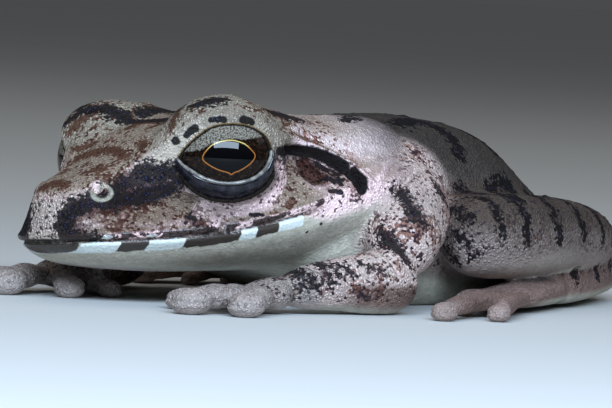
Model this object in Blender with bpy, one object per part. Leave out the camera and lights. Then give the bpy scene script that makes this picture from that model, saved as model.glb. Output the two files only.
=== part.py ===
"""A life-size brown tree frog at rest, crouched with its limbs folded and its head turned a little.

The flesh is worked out as smooth closed forms, joined where the animal is one piece, and parted
with thin cuts where a person would name a new part. Sizes are in millimetres in the frog's own
frame: x runs back from the neck, side runs out from the middle line, z runs up from the floor.
"""

import bmesh
import bpy
import numpy as np
from mathutils import Matrix, Vector

MM = 0.001
GAP = 0.3  # clearance that keeps neighbouring pieces apart
SIDES = {"left": -1, "right": 1}

# Head: lengths along it from the snout's tip to the neck
HEAD_LENGTH = 24.3
HEAD_REACH = 33.0  # how far the head form runs, into the neck
HEAD_AT = Vector((0.0, 0.0, 6.75))
HEAD_YAW, HEAD_PITCH, HEAD_ROLL = 9.0, 4.0, 4.5  # degrees: to the right, snout down, left side up
HEAD_STEPS = (0.0, 0.1, 0.2, 0.35, 0.5, 0.7, 0.85, 1.0)
LIP_HALF_WIDTH = (0.0, 2.9, 4.9, 7.4, 9.6, 11.6, 12.3, 11.6)
BROW_HALF_WIDTH = (0.0, 1.9, 2.9, 3.7, 4.9, 7.0, 7.8, 8.0)
CROWN_HEIGHT = (1.6, 3.7, 4.6, 5.6, 7.9, 9.4, 8.6, 8.2)
BROW_HEIGHT = (1.6, 3.2, 4.0, 5.0, 6.8, 7.8, 7.4, 6.9)
LIP_HEIGHT = (1.6, 0.3, -0.2, -0.3, -0.3, 0.5, 2.1, 2.8)
THROAT_HEIGHT = (1.6, -0.9, -1.7, -2.6, -3.3, -3.9, -4.2, -4.4)
SNOUT_LEAN = 0.16  # the snout's front slopes back by this share of its height
MOUTH_X = (-28.0, -22.5, -15.0, -10.7, -6.0, -2.0, 2.0, 14.0)
MOUTH_Z = (-0.2, -0.4, -0.4, 0.0, 0.8, 1.9, 2.6, 3.0)

# Eyes, in the head's frame
EYE_X, EYE_SIDE, EYE_Z = -10.9, 7.4, 5.7
EYE_RADIUS = 4.2
EYE_FORWARD, EYE_UP = 33.0, 4.0  # degrees that each eye looks forward and up from straight out
LID_RADII = (5.5, 5.3, 5.15)
LID_SIDE, LID_Z = 7.0, 5.6
BROW = (
    ((-19.0, 3.3, 3.8), (-15.5, 4.7, 5.2), (-10.9, 6.0, 6.5), (-5.5, 5.6, 6.4), (0.0, 5.4, 5.7)),
    ((1.0, 1.1), (2.3, 2.3), (4.2, 4.0), (3.4, 3.1), (2.2, 2.5)),
)
OPENING_HALF = (4.0, 2.9)
OPENING_PINCH = 0.22  # share of its height that the opening loses at the front corner
OPENING_DROP = 0.3  # how far the opening's middle lies below the line of sight
OPENING_DEPTHS, OPENING_FLARE = (1.0, 9.0), (0.86, 1.12)  # ends of its plug, and the plug's scale there
LOWER_LID_RADIUS = 0.42
LOWER_LID_ANGLES = (188, 352)  # degrees round the opening
LOWER_LID_SHARE = (0.93, 0.88)  # its half width and height as shares of the opening's
LOWER_LID_PROUD = 0.25  # how far its middle stands off the socket

# Marks of the head's side, in the head's frame
EAR_X, EAR_SIDE, EAR_Z = -3.8, 9.9, 4.2
EAR_RADIUS, EAR_HALF_THICKNESS = 1.5, 0.5
EAR_BACK, EAR_UP = 0.1, 0.32  # how far the eardrum faces back and up from straight out
NOSTRIL_X, NOSTRIL_SIDE, NOSTRIL_Z = -20.8, 3.2, 4.2
NOSTRIL_RADII, PIT_RADII = (1.1, 0.9, 0.8), (0.42, 0.3, 0.6)
NOSTRIL_FORWARD, NOSTRIL_UP, PIT_OUT = 0.25, 0.35, 0.95
FOLD_POINTS = ((-7.0, 8.6, 6.6), (-4.4, 8.7, 6.4), (-1.6, 9.5, 5.6), (0.0, 11.0, 4.2), (0.6, 12.1, 1.9))
FOLD_RADIUS = 0.75
NECK_X, NECK_LEAN = 3.4, 0.05

# Trunk
TRUNK_STEPS = (-8.0, -3.0, 3.0, 9.0, 16.0, 22.0, 28.0, 34.0, 39.0, 43.0)
TRUNK_HALF_WIDTH = (8.0, 10.2, 11.0, 11.2, 10.9, 10.0, 8.2, 6.2, 4.4, 3.0)
TRUNK_TOP = (12.6, 13.9, 15.2, 15.7, 15.8, 14.8, 11.8, 8.7, 7.2, 6.1)
TRUNK_BOTTOM = (3.0, 2.4, 1.0, -0.3, -0.5, -0.5, -0.3, 0.6, 1.9, 3.2)

# Limbs: the points each one runs through as (x, side, z), and its half width and half height there
UPPER_ARM = (
    ((7.6, 8.8, 10.8), (4.4, 11.2, 8.4), (0.8, 13.6, 5.2), (-0.6, 14.6, 3.2)),
    ((3.0, 3.4), (3.3, 3.6), (3.1, 3.0), (2.6, 2.5)),
)
FOREARM = (
    ((0.6, 14.6, 2.7), (-3.0, 14.4, 2.6), (-7.5, 13.0, 2.4), (-12.2, 11.7, 1.9)),
    ((2.3, 2.5), (2.4, 2.6), (2.0, 2.1), (1.7, 1.6)),
)
THIGH = (
    ((35.6, 4.8, 5.2), (29.0, 7.4, 5.3), (19.0, 10.2, 6.0), (8.9, 12.4, 6.8)),
    ((2.6, 2.8), (3.8, 3.5), (4.1, 3.6), (3.2, 3.2)),
)
SHANK = (
    ((7.8, 13.3, 6.1), (14.0, 14.2, 6.3), (24.0, 13.0, 6.2), (38.2, 6.8, 4.6)),
    ((3.2, 3.5), (3.5, 3.6), (3.2, 3.1), (2.0, 2.1)),
)
TARSUS = (
    ((39.6, 6.2, 2.9), (34.0, 9.0, 2.5), (28.0, 11.6, 2.1), (21.0, 13.6, 1.8)),
    ((2.1, 2.2), (2.2, 1.9), (2.1, 1.7), (2.2, 1.6)),
)
PALM = (
    ((-11.2, 11.9, 1.8), (-13.0, 11.2, 1.6), (-15.0, 10.8, 1.3)),
    ((1.7, 1.6), (2.5, 1.3), (2.4, 1.0)),
)
INSTEP = (
    ((22.6, 13.2, 1.7), (17.0, 14.6, 1.5), (11.6, 16.0, 1.2)),
    ((2.1, 1.5), (2.5, 1.2), (3.0, 0.9)),
)
# Fingers and toes: where each leaves the palm or instep, where its disc lies, and the disc's half width
FINGERS = (
    ((-13.0, 9.4), (-13.4, 5.6), 1.15),
    ((-14.6, 10.0), (-17.6, 6.2), 1.4),
    ((-15.2, 11.0), (-21.0, 9.9), 1.65),
    ((-14.4, 12.2), (-18.3, 13.3), 1.6),
)
TOES = (
    ((13.4, 14.0), (9.8, 12.3), 0.8),
    ((12.6, 15.0), (7.6, 14.6), 0.95),
    ((11.4, 16.0), (4.7, 17.4), 1.1),
    ((11.2, 17.2), (-2.2, 20.7), 1.2),
    ((12.2, 17.8), (2.6, 22.6), 1.1),
)
DIGIT_RADIUS = {"finger": 0.85, "toe": 0.68}
DIGIT_ROOT_Z = 1.25  # height at which a digit leaves the palm or instep
DIGIT_OVERLAP = 0.8  # how far a digit starts inside the palm or instep
KNUCKLE_BACK, KNUCKLE_RISE = 1.75, 0.25  # its distance from the tip in disc widths, and its height
DISC_SHAPE = (1.15, 1.0, 0.66)  # half length, width and thickness as shares of the disc's half width
DISC_HEIGHT, DISC_TILT = 0.62, 8.0  # its middle's height as such a share, and its lean in degrees
WEB_REACH = 0.66  # share of the toes' length that the web fills
WEB_START, WEB_HOLLOW = -0.12, 0.42  # where it starts, and how deep its free edge is hollowed
WEB_HEIGHTS = (1.0, 0.6)  # height of its middle at the root and at the toes' tips
WEB_HALF_THICKNESS = 0.3
SHELL_GROWTH = 1.08 * GAP  # how far the body grows to cut the limbs clear of its flat facets
FAR = 60.0  # reach of the blocks that cut away all on one side of a plane

# Colour and roughness of each kind of surface
SKIN = {
    "head": ((0.42, 0.33, 0.29), 0.5),
    "pale": ((0.62, 0.62, 0.52), 0.5),
    "trunk": ((0.32, 0.26, 0.23), 0.55),
    "limb": ((0.40, 0.32, 0.28), 0.5),
    "digit": ((0.46, 0.40, 0.37), 0.5),
    "eye": ((0.05, 0.03, 0.02), 0.08),
}


def smooth(at, knots, values):
    """Reads a curve that passes smoothly through values at the knots; each value may be a point."""
    at, knots, values = (np.asarray(a, float) for a in (at, knots, values))
    slopes = np.gradient(values, knots, axis=0)
    i = np.clip(np.searchsorted(knots, at, side="right") - 1, 0, len(knots) - 2)
    span = knots[i + 1] - knots[i]
    u = (at - knots[i]) / span
    if values.ndim > 1:
        u, span = u[..., None], span[..., None]
    rise = values[i + 1] - values[i]
    bend = span * (slopes[i] * (1 - u) - slopes[i + 1] * u) - rise * (1 - 2 * u)
    return values[i] + rise * u + u * (1 - u) * bend


def closed_grid(rings):
    """Points and faces of a closed skin over the rings; the first and last rings shrink to one point."""
    n, m = rings.shape[:2]
    points = np.concatenate([rings[:1, 0], rings[1:-1].reshape(-1, 3), rings[-1:, 0]])
    ring = np.arange(m)
    following = (ring + 1) % m
    faces = [(0, 1 + b, 1 + a) for a, b in zip(ring, following)]
    for k in range(n - 3):
        low, high = 1 + k * m, 1 + (k + 1) * m
        faces += [(low + a, low + b, high + b, high + a) for a, b in zip(ring, following)]
    base, last = 1 + (n - 3) * m, len(points) - 1
    faces += [(base + a, base + b, last) for a, b in zip(ring, following)]
    return points, faces


def solid(name, points, faces):
    """A mesh object from points in millimetres, with its faces turned outwards."""
    mesh = bpy.data.meshes.new(name)
    mesh.from_pydata((np.asarray(points) * MM).tolist(), [], faces)
    bm = bmesh.new()
    bm.from_mesh(mesh)
    bmesh.ops.recalc_face_normals(bm, faces=bm.faces)
    bm.to_mesh(mesh)
    bm.free()
    obj = bpy.data.objects.new(name, mesh)
    bpy.context.scene.collection.objects.link(obj)
    return obj


def ellipsoid(name, centre, radii, turn=None, around=16, along=10):
    """An ellipsoid whose own axes are turned by a rotation matrix."""
    lat = np.linspace(0, np.pi, along + 1)
    lon = np.linspace(0, 2 * np.pi, around, endpoint=False)
    lat, lon = np.meshgrid(lat, lon, indexing="ij")
    rings = np.stack([np.sin(lat) * np.cos(lon), np.sin(lat) * np.sin(lon), np.cos(lat)], -1) * radii
    if turn is not None:
        rings = rings @ np.array(turn.to_3x3()).T
    return solid(name, *closed_grid(rings + np.asarray(centre)))


def tube_rings(points, radii, around, along, up=(0, 0, 1), grow=0.0):
    """Ellipses along a smooth path through the points, closing to a dome at both ends."""
    points, radii = np.asarray(points, float), np.asarray(radii, float)
    steps = np.concatenate([[0], np.cumsum(np.linalg.norm(np.diff(points, axis=0), axis=1))])
    length = steps[-1]
    t = (1 - np.cos(np.linspace(0, np.pi, along + 1))) / 2
    centres = smooth(t * length, steps, points)
    tangent = np.gradient(centres, axis=0)
    tangent /= np.linalg.norm(tangent, axis=1, keepdims=True)
    across = np.cross(np.asarray(up, float), tangent)
    across /= np.linalg.norm(across, axis=1, keepdims=True)
    above = np.cross(tangent, across)
    power = max(2.4, 1.15 * length / radii.mean())
    dome = np.sqrt(1 - np.abs(2 * t - 1) ** power)
    size = smooth(t * length, steps, radii) * dome[:, None] + grow
    size[[0, -1]] = 0
    centres[0] -= tangent[0] * grow
    centres[-1] += tangent[-1] * grow
    angle = np.linspace(0, 2 * np.pi, around, endpoint=False)
    return (
        centres[:, None]
        + across[:, None] * (size[:, :1] * np.cos(angle))[..., None]
        + above[:, None] * (size[:, 1:] * np.sin(angle))[..., None]
    )


def on_side(points, side):
    """(x, side, z) points placed on the left or right of the frog."""
    return [(x, side * out, z) for x, out, z in points]


def limb(name, shape, side, around=14, along=12, up=(0, 0, 1), grow=0.0):
    points, radii = shape
    return solid(name, *closed_grid(tube_rings(on_side(points, side), radii, around, along, up, grow)))


def head_turn():
    """The head's place: pitched snout down, rolled, then turned to its right."""
    yaw, pitch, roll = (np.radians(a) for a in (HEAD_YAW, HEAD_PITCH, HEAD_ROLL))
    turn = Matrix.Rotation(-yaw, 4, "Z") @ Matrix.Rotation(-pitch, 4, "Y") @ Matrix.Rotation(-roll, 4, "X")
    return Matrix.Translation(HEAD_AT * MM) @ turn


def put_on_head(obj):
    obj.data.transform(head_turn())
    return obj


def apply_boolean(target, operation, other=None, collection=None):
    modifier = target.modifiers.new("join", "BOOLEAN")
    modifier.operation = operation
    modifier.solver = "EXACT"
    if collection is None:
        modifier.object = other
    else:
        modifier.operand_type = "COLLECTION"
        modifier.collection = collection
    graph = bpy.context.evaluated_depsgraph_get()
    made = bpy.data.meshes.new_from_object(target.evaluated_get(graph))
    target.modifiers.clear()
    target.data = made


def remove(obj):
    bpy.data.objects.remove(obj)


def join(target, others):
    """One Boolean union of closed pieces into the target, which keeps its largest closed surface."""
    gathered = bpy.data.collections.new("joined")
    bpy.context.scene.collection.children.link(gathered)
    for other in others:
        bpy.context.scene.collection.objects.unlink(other)
        gathered.objects.link(other)
    apply_boolean(target, "UNION", collection=gathered)
    for other in others:
        remove(other)
    bpy.data.collections.remove(gathered)
    keep_largest(target)
    return target


def cut(target, *cutters, keep_cutters=False):
    for cutter in cutters:
        apply_boolean(target, "DIFFERENCE", cutter)
        if not keep_cutters:
            remove(cutter)
    keep_largest(target)
    return target


def keep_largest(obj):
    """Drops loose scraps, so that one closed surface is left."""
    bm = bmesh.new()
    bm.from_mesh(obj.data)
    bm.faces.ensure_lookup_table()
    left, islands = set(bm.faces), []
    while left:
        found, edge = set(), [left.pop()]
        while edge:
            face = edge.pop()
            found.add(face)
            near = {f for e in face.edges for f in e.link_faces} & left
            left -= near
            edge += near
        islands.append(found)
    islands.sort(key=lambda faces: -sum(f.calc_area() for f in faces))
    scraps = [f for faces in islands[1:] for f in faces]
    bmesh.ops.delete(bm, geom=scraps, context="FACES")
    bm.to_mesh(obj.data)
    bm.free()


def copy_of(obj, name):
    twin = bpy.data.objects.new(name, obj.data.copy())
    bpy.context.scene.collection.objects.link(twin)
    return twin


def box(name, low, high):
    corners = [(x, y, z) for x in (low[0], high[0]) for y in (low[1], high[1]) for z in (low[2], high[2])]
    faces = [(0, 1, 3, 2), (4, 6, 7, 5), (0, 4, 5, 1), (2, 3, 7, 6), (0, 2, 6, 4), (1, 5, 7, 3)]
    return solid(name, corners, faces)


def sections(half, x, count):
    """Closed sections from the corners of their halves: count points down one side, then up the other."""
    corners = len(half)
    at = np.linspace(0, corners - 1, count)
    across = smooth(at, np.arange(corners), half.reshape(corners, -1)).reshape(count, len(x), 2)
    round_way = np.concatenate([across, across[-2:0:-1] * (-1, 1)])
    rings = np.empty((len(x), len(round_way), 3))
    rings[..., 0] = x[:, None]
    rings[..., 1:] = round_way.transpose(1, 0, 2)
    return rings


def prism(name, ends, place=None):
    """A closed block between two like outlines, listed one after the other."""
    count = len(ends) // 2
    ring = np.arange(count)
    following = (ring + 1) % count
    faces = [(a, b, count + b, count + a) for a, b in zip(ring, following)]
    faces += [tuple(ring[::-1]), tuple(count + ring)]
    if place is not None:
        place = np.array(place)
        ends = ends @ place[:3, :3].T + place[:3, 3]
    return solid(name, ends, faces)


def floor_cutter():
    return box("floor_cutter", (-FAR, -FAR, -FAR), (FAR, FAR, 0))


def head_form():
    """The head from the snout's tip back: each section runs through crown, brow, cheek, lip and throat."""
    step = np.linspace(0, 1, 21)
    x = -HEAD_LENGTH + HEAD_REACH * (1 - np.cos(step * np.pi / 2))
    lip, brow, crown, brow_z, lip_z, throat = (
        smooth(step, HEAD_STEPS, values)
        for values in (LIP_HALF_WIDTH, BROW_HALF_WIDTH, CROWN_HEIGHT, BROW_HEIGHT, LIP_HEIGHT, THROAT_HEIGHT)
    )
    zero = np.zeros_like(step)
    half = np.stack([
        np.stack([zero, crown], 1),
        np.stack([0.55 * brow, crown - 0.04 * (crown - brow_z)], 1),
        np.stack([brow, brow_z], 1),
        np.stack([brow + 0.5 * (lip - brow), lip_z + 0.5 * (brow_z - lip_z)], 1),
        np.stack([0.96 * lip, lip_z + 0.22 * (brow_z - lip_z)], 1),
        np.stack([lip, lip_z + 0.04 * (brow_z - lip_z)], 1),
        np.stack([0.95 * lip, lip_z + 0.3 * (throat - lip_z)], 1),
        np.stack([0.62 * lip, throat + 0.14 * (lip_z - throat)], 1),
        np.stack([zero, throat], 1),
    ])
    rings = sections(half, x, 15)
    lean = SNOUT_LEAN * smooth(step, (0, 0.2, 0.5, 1), (1, 1, 0, 0))
    rings[..., 0] += lean[:, None] * (rings[..., 2] - lip_z[:, None]).clip(0)
    rings[-1] = rings[-1].mean(0)
    return put_on_head(solid("head_form", *closed_grid(rings)))


def trunk_form():
    """The trunk from inside the neck to the vent: flat-bellied sections that narrow at the hips."""
    start, end = TRUNK_STEPS[0], TRUNK_STEPS[-1]
    x = start + (end + 1.6 - start) * (1 - np.cos(np.linspace(0, np.pi, 21))) / 2
    width, top, bottom = (
        smooth(x.clip(start, end), TRUNK_STEPS, values)
        for values in (TRUNK_HALF_WIDTH, TRUNK_TOP, TRUNK_BOTTOM)
    )
    share = (x - start) / (x[-1] - start)
    close = np.sqrt(1 - np.abs(2 * share - 1) ** 16)
    middle = (top + bottom) / 2
    height = (top - bottom) * close
    width = width * close
    low = middle - height / 2
    zero = np.zeros_like(x)
    half = np.stack([
        np.stack([zero, low + height], 1),
        np.stack([0.5 * width, low + 0.95 * height], 1),
        np.stack([0.84 * width, low + 0.74 * height], 1),
        np.stack([width, low + 0.42 * height], 1),
        np.stack([0.9 * width, low + 0.14 * height], 1),
        np.stack([0.6 * width, low + 0.01 * height], 1),
        np.stack([zero, low], 1),
    ])
    return solid("trunk_form", *closed_grid(sections(half, x, 13)))


def eye_axis(side):
    """The way an eye looks, in the head's frame."""
    forward, up = np.radians(EYE_FORWARD), np.radians(EYE_UP)
    return Vector((-np.sin(forward) * np.cos(up), side * np.cos(forward) * np.cos(up), np.sin(up)))


def eye_frame(side):
    """The eye's centre, with z along its sight, x along the head and y up."""
    sight = eye_axis(side)
    along = Vector((0, 0, 1)).cross(sight).normalized()
    above = sight.cross(along)
    turn = Matrix((along, above, sight)).transposed().to_4x4()
    return Matrix.Translation(Vector((EYE_X, side * EYE_SIDE, EYE_Z))) @ turn


def lid_dome(side):
    """The bulge of brow and lids over an eye."""
    centre = (EYE_X, side * LID_SIDE, LID_Z)
    return put_on_head(ellipsoid("lid_dome", centre, LID_RADII, around=20, along=14))


def brow(side):
    """The ridge from the snout's edge over the eye to the back of the head, which the lids bulge from."""
    points, radii = BROW
    return put_on_head(solid("brow", *closed_grid(tube_rings(on_side(points, side), radii, 16, 12))))


def opening_outline(count=20):
    """The eye's opening seen along its sight: pointed at the front corner and round behind."""
    angle = np.linspace(0, 2 * np.pi, count, endpoint=False)
    wide, high = OPENING_HALF
    x, y = np.cos(angle), np.sin(angle)
    pinch = 1 - OPENING_PINCH * np.clip(x, 0, 1) ** 2
    return np.stack([wide * x, high * np.sign(y) * np.abs(y) ** 1.1 * pinch - OPENING_DROP], 1)


def opening_cutter(side):
    """A flared plug along the sight, from inside the ball to well outside the lids."""
    outline = opening_outline()
    if side > 0:
        outline = outline * (-1, 1)
    rings = np.concatenate([outline * flare for flare in OPENING_FLARE])
    ends = np.column_stack([rings, np.repeat(OPENING_DEPTHS, len(outline))])
    return put_on_head(prism("opening", ends, eye_frame(side)))


def lower_lid(side):
    """The rolled edge of the lower lid, hugging the ball below the opening."""
    angle = np.radians(np.linspace(*LOWER_LID_ANGLES, 15))
    if side > 0:
        angle = np.pi - angle
    reach = EYE_RADIUS + GAP + LOWER_LID_PROUD
    wide, high = np.multiply(OPENING_HALF, LOWER_LID_SHARE)
    flat = np.stack([wide * np.cos(angle), high * np.sin(angle) - 0.1], 1)
    depth = np.sqrt(np.maximum(reach**2 - (flat**2).sum(1), 0.1))
    path = np.column_stack([flat, depth])
    frame = np.array(eye_frame(side))
    path = path @ frame[:3, :3].T + frame[:3, 3]
    radii = np.full((len(path), 2), LOWER_LID_RADIUS)
    return put_on_head(solid("lower_lid", *closed_grid(tube_rings(path, radii, 6, 14))))


def ear_disc(side):
    """The eardrum: a shallow lens set in the head's side, ringed by a raised rim."""
    centre = Vector((EAR_X, side * EAR_SIDE, EAR_Z))
    out = Vector((EAR_BACK, side, EAR_UP)).normalized()
    turn = out.to_track_quat("Z", "Y").to_matrix().to_4x4()
    radii = (EAR_RADIUS, EAR_RADIUS, EAR_HALF_THICKNESS)
    return put_on_head(ellipsoid("ear_disc", centre, radii, turn, around=16, along=6))


def nostril_bump(side):
    centre = (NOSTRIL_X, side * NOSTRIL_SIDE, NOSTRIL_Z)
    return put_on_head(ellipsoid("nostril", centre, NOSTRIL_RADII, around=10, along=6))


def nostril_pit(side):
    out = Vector((-NOSTRIL_FORWARD, side, NOSTRIL_UP)).normalized()
    turn = out.to_track_quat("Z", "Y").to_matrix().to_4x4()
    centre = Vector((NOSTRIL_X, side * NOSTRIL_SIDE, NOSTRIL_Z)) + out * PIT_OUT
    return put_on_head(ellipsoid("pit", centre, PIT_RADII, turn, around=8, along=6))


def ear_fold(side, grow=0.0):
    """The fold of skin that runs from the eye over the eardrum to the shoulder."""
    path = on_side(FOLD_POINTS, side)
    radii = FOLD_RADIUS * np.array([(0.8, 1.0), (1.0, 1.0), (1.0, 1.0), (1.0, 1.0), (0.7, 0.7)])
    return put_on_head(solid("ear_fold", *closed_grid(tube_rings(path, radii, 8, 10, (1, 0, 0.4), grow))))


def mouth_block(shift):
    """A block below the line of the mouth, raised or lowered by shift, that parts the whole head."""
    x = np.linspace(MOUTH_X[0], MOUTH_X[-1], 25)
    top = np.column_stack([x, smooth(x, MOUTH_X, MOUTH_Z) + shift])
    outline = np.concatenate([top, [(x[-1], -FAR), (x[0], -FAR)]])
    ends = np.array([(a, y, b) for y in (-FAR, FAR) for a, b in outline])
    return put_on_head(prism("mouth_block", ends))


def neck_block(before, shift):
    """All that lies before or behind the neck's plane, which leans a little."""
    x = NECK_X + shift
    low, high = (x - 2 * FAR, x) if before else (x, x + 2 * FAR)
    block = box("neck_block", (low, -FAR, -FAR), (high, FAR, FAR))
    pivot = Matrix.Translation((x * MM, 0, 0))
    block.data.transform(pivot @ Matrix.Rotation(NECK_LEAN, 4, "Y") @ pivot.inverted())
    return block


def body_core():
    """Head and trunk as one body, with lids, ears, folds and nostrils on it."""
    core = head_form()
    extras = [trunk_form()]
    for side in SIDES.values():
        extras += [lid_dome(side), brow(side), ear_disc(side), ear_fold(side), nostril_bump(side)]
    join(core, extras)
    for side in SIDES.values():
        centre = (EYE_X, side * EYE_SIDE, EYE_Z)
        ball = put_on_head(ellipsoid("socket", centre, [EYE_RADIUS + GAP] * 3, around=20, along=14))
        cut(core, ball, opening_cutter(side), nostril_pit(side))
        join(core, [lower_lid(side)])
    cut(core, floor_cutter())
    return core


def digit(name, root, tip, disc, radius, side):
    """A finger or toe: a shaft with a knuckle, then a round disc that lies on the floor."""
    root = Vector((root[0], side * root[1], DIGIT_ROOT_Z))
    tip = Vector((tip[0], side * tip[1], DISC_HEIGHT * disc))
    way = (tip - root).normalized()
    knuckle = tip - way * disc * KNUCKLE_BACK
    rise = Vector((0, 0, KNUCKLE_RISE))
    points = [root - way * DIGIT_OVERLAP, root.lerp(knuckle, 0.5) + rise, knuckle + rise, tip]
    radii = radius * np.array([(1, 1), (1, 0.9), (1.18, 1.05), (0.7, 0.6)])
    shaft = solid(name, *closed_grid(tube_rings(points, radii, 8, 7)))
    lie = Matrix.Rotation(np.arctan2(way.y, way.x), 4, "Z") @ Matrix.Rotation(np.radians(DISC_TILT), 4, "Y")
    pad = ellipsoid(name, tip, disc * np.array(DISC_SHAPE), lie, around=10, along=7)
    return [shaft, pad]


def web(name, toe, following, side):
    """The web between two toes: a thin sheet ending in a hollow curve, with like triangles on both faces."""
    u, v = np.meshgrid(np.linspace(WEB_START, 1, 5), np.linspace(0, 1, 5), indexing="ij")
    hollow = 1 - WEB_HOLLOW * 4 * v * (1 - v)
    along = WEB_REACH * u * hollow
    first = np.array([(*place, z) for place, z in zip(toe, WEB_HEIGHTS)])
    second = np.array([(*place, z) for place, z in zip(following, WEB_HEIGHTS)])
    on_first = first[0] + (first[1] - first[0]) * along[..., None]
    on_second = second[0] + (second[1] - second[0]) * along[..., None]
    middle = on_first * (1 - v[..., None]) + on_second * v[..., None]
    middle[..., 1] *= side
    lift = np.array([0, 0, WEB_HALF_THICKNESS])
    n, m = u.shape
    points = np.concatenate([(middle + lift).reshape(-1, 3), (middle - lift).reshape(-1, 3)])
    under = n * m
    faces = []
    for i in range(n - 1):
        for j in range(m - 1):
            a, b, c, d = i * m + j, i * m + j + 1, (i + 1) * m + j + 1, (i + 1) * m + j
            faces += [(a, b, c), (a, c, d)]
            faces += [(under + a, under + c, under + b), (under + a, under + d, under + c)]
    rim = list(range(m)) + [i * m + m - 1 for i in range(1, n)]
    rim += [(n - 1) * m + j for j in range(m - 2, -1, -1)] + [i * m for i in range(n - 2, 0, -1)]
    for a, b in zip(rim, rim[1:] + rim[:1]):
        faces += [(a, under + a, under + b), (a, under + b, b)]
    return solid(name, points, faces)


def extremity(name, root_shape, digits, kind, side):
    """A hand or foot: the palm or instep with its digits joined on."""
    base = limb(name, root_shape, side, around=12, along=8)
    pieces = []
    for root, tip, disc in digits:
        pieces += digit("digit", root, tip, disc, DIGIT_RADIUS[kind], side)
    if kind == "toe":
        pieces += [web("web", a, b, side) for a, b in zip(digits, digits[1:])]
    return join(base, pieces)


def paint(obj, kind):
    colour, roughness = SKIN[kind]
    material = bpy.data.materials.get(kind) or bpy.data.materials.new(kind)
    material.use_nodes = True
    shader = material.node_tree.nodes["Principled BSDF"]
    shader.inputs["Base Color"].default_value = (*colour, 1)
    shader.inputs["Roughness"].default_value = roughness
    shader.inputs["Metallic"].default_value = 0
    obj.data.materials.clear()
    obj.data.materials.append(material)
    obj.data.shade_smooth()


def body_parts():
    """Head, lower jaw, trunk and eyes."""
    core = body_core()
    trunk = copy_of(core, "trunk")
    cut(trunk, neck_block(True, GAP / 2))
    jaw = copy_of(core, "lower_jaw")
    cut(jaw, neck_block(False, -GAP / 2))
    above = mouth_block(-GAP / 2)
    apply_boolean(jaw, "INTERSECT", above)
    keep_largest(jaw)
    head = core
    head.name = "head"
    cut(head, neck_block(False, -GAP / 2), mouth_block(GAP / 2))
    remove(above)
    for word, side in SIDES.items():
        eye = ellipsoid(f"eye_{word}", (0, 0, 0), [EYE_RADIUS] * 3, around=20, along=12)
        frame = eye_frame(side)
        frame.translation *= MM
        eye.data.transform(frame)
        put_on_head(eye)
        paint(eye, "eye")
    paint(head, "head")
    paint(jaw, "pale")
    paint(trunk, "trunk")
    return [head, jaw, trunk]


def limb_parts(word, side, body):
    """One side's limbs; each is cut clear of what it grows from or rests against."""
    shapes = [
        ("upper_arm", UPPER_ARM, (1, 0, 0)), ("forearm", FOREARM, (0, 0, 1)),
        ("thigh", THIGH, (0, 0, 1)), ("shank", SHANK, (0, 0, 1)), ("tarsus", TARSUS, (0, 0, 1)),
    ]
    grown = {name: limb(f"grown_{name}", shape, side, up=up, grow=GAP) for name, shape, up in shapes}
    made = {name: limb(f"{name}_{word}", shape, side, up=up) for name, shape, up in shapes}
    made["hand"] = extremity(f"hand_{word}", PALM, FINGERS, "finger", side)
    made["foot"] = extremity(f"foot_{word}", INSTEP, TOES, "toe", side)
    clear_of = {
        "upper_arm": (), "forearm": ("upper_arm",), "hand": ("forearm",),
        "thigh": ("upper_arm",), "shank": ("thigh", "upper_arm", "forearm"),
        "tarsus": ("shank", "thigh"), "foot": ("tarsus", "shank", "upper_arm", "forearm", "thigh"),
    }
    for name, others in clear_of.items():
        piece = made[name]
        cut(piece, *[grown[o] for o in others], keep_cutters=True)
        for other in body:
            apply_boolean(piece, "DIFFERENCE", other)
        cut(piece, floor_cutter())
        paint(piece, "digit" if name in ("hand", "foot") else "limb")
    for obj in grown.values():
        remove(obj)


def grown_body():
    """Head and trunk a gap larger all round, to cut the limbs clear of them."""
    trunk, head = trunk_form(), head_form()
    shells = []
    for form in (trunk, head):
        bm = bmesh.new()
        bm.from_mesh(form.data)
        bm.normal_update()
        for vertex in bm.verts:
            vertex.co += vertex.normal * SHELL_GROWTH * MM
        bm.to_mesh(form.data)
        bm.free()
        shells.append(form)
    return shells + [ear_fold(side, GAP) for side in SIDES.values()]


def stand_on_floor():
    """Moves every piece so that the origin lies on the floor below the middle of the frog's box."""
    pieces = [o for o in bpy.context.scene.objects if o.type == "MESH"]
    corners = np.array([v.co for o in pieces for v in o.data.vertices])
    low, high = corners.min(0), corners.max(0)
    shift = Matrix.Translation((-(low[0] + high[0]) / 2, -(low[1] + high[1]) / 2, -low[2]))
    for obj in pieces:
        obj.data.transform(shift)
    print("the frog's box measures", np.round((high - low) / MM, 2), "mm")
    print("and was moved by", np.round(shift.translation / MM, 3), "mm")


def main():
    for obj in list(bpy.data.objects):
        bpy.data.objects.remove(obj)
    body_parts()
    shells = grown_body()
    for word, side in SIDES.items():
        limb_parts(word, side, shells)
    for shell in shells:
        remove(shell)
    stand_on_floor()


main()
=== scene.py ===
# %% [markdown]
# # A brown tree frog, dressed for its portrait
# The solids already hold the frog's size and pose, parted into head, trunk, limbs and eyes. A living
# frog shows no such partings: one moist skin runs over everything. Here that skin is worked out anew
# from the same named shapes, joined, relaxed and then sculpted with lids, lips, nostrils and folds.

import bmesh
import bpy
import numpy as np
from mathutils import Matrix, Vector


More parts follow.
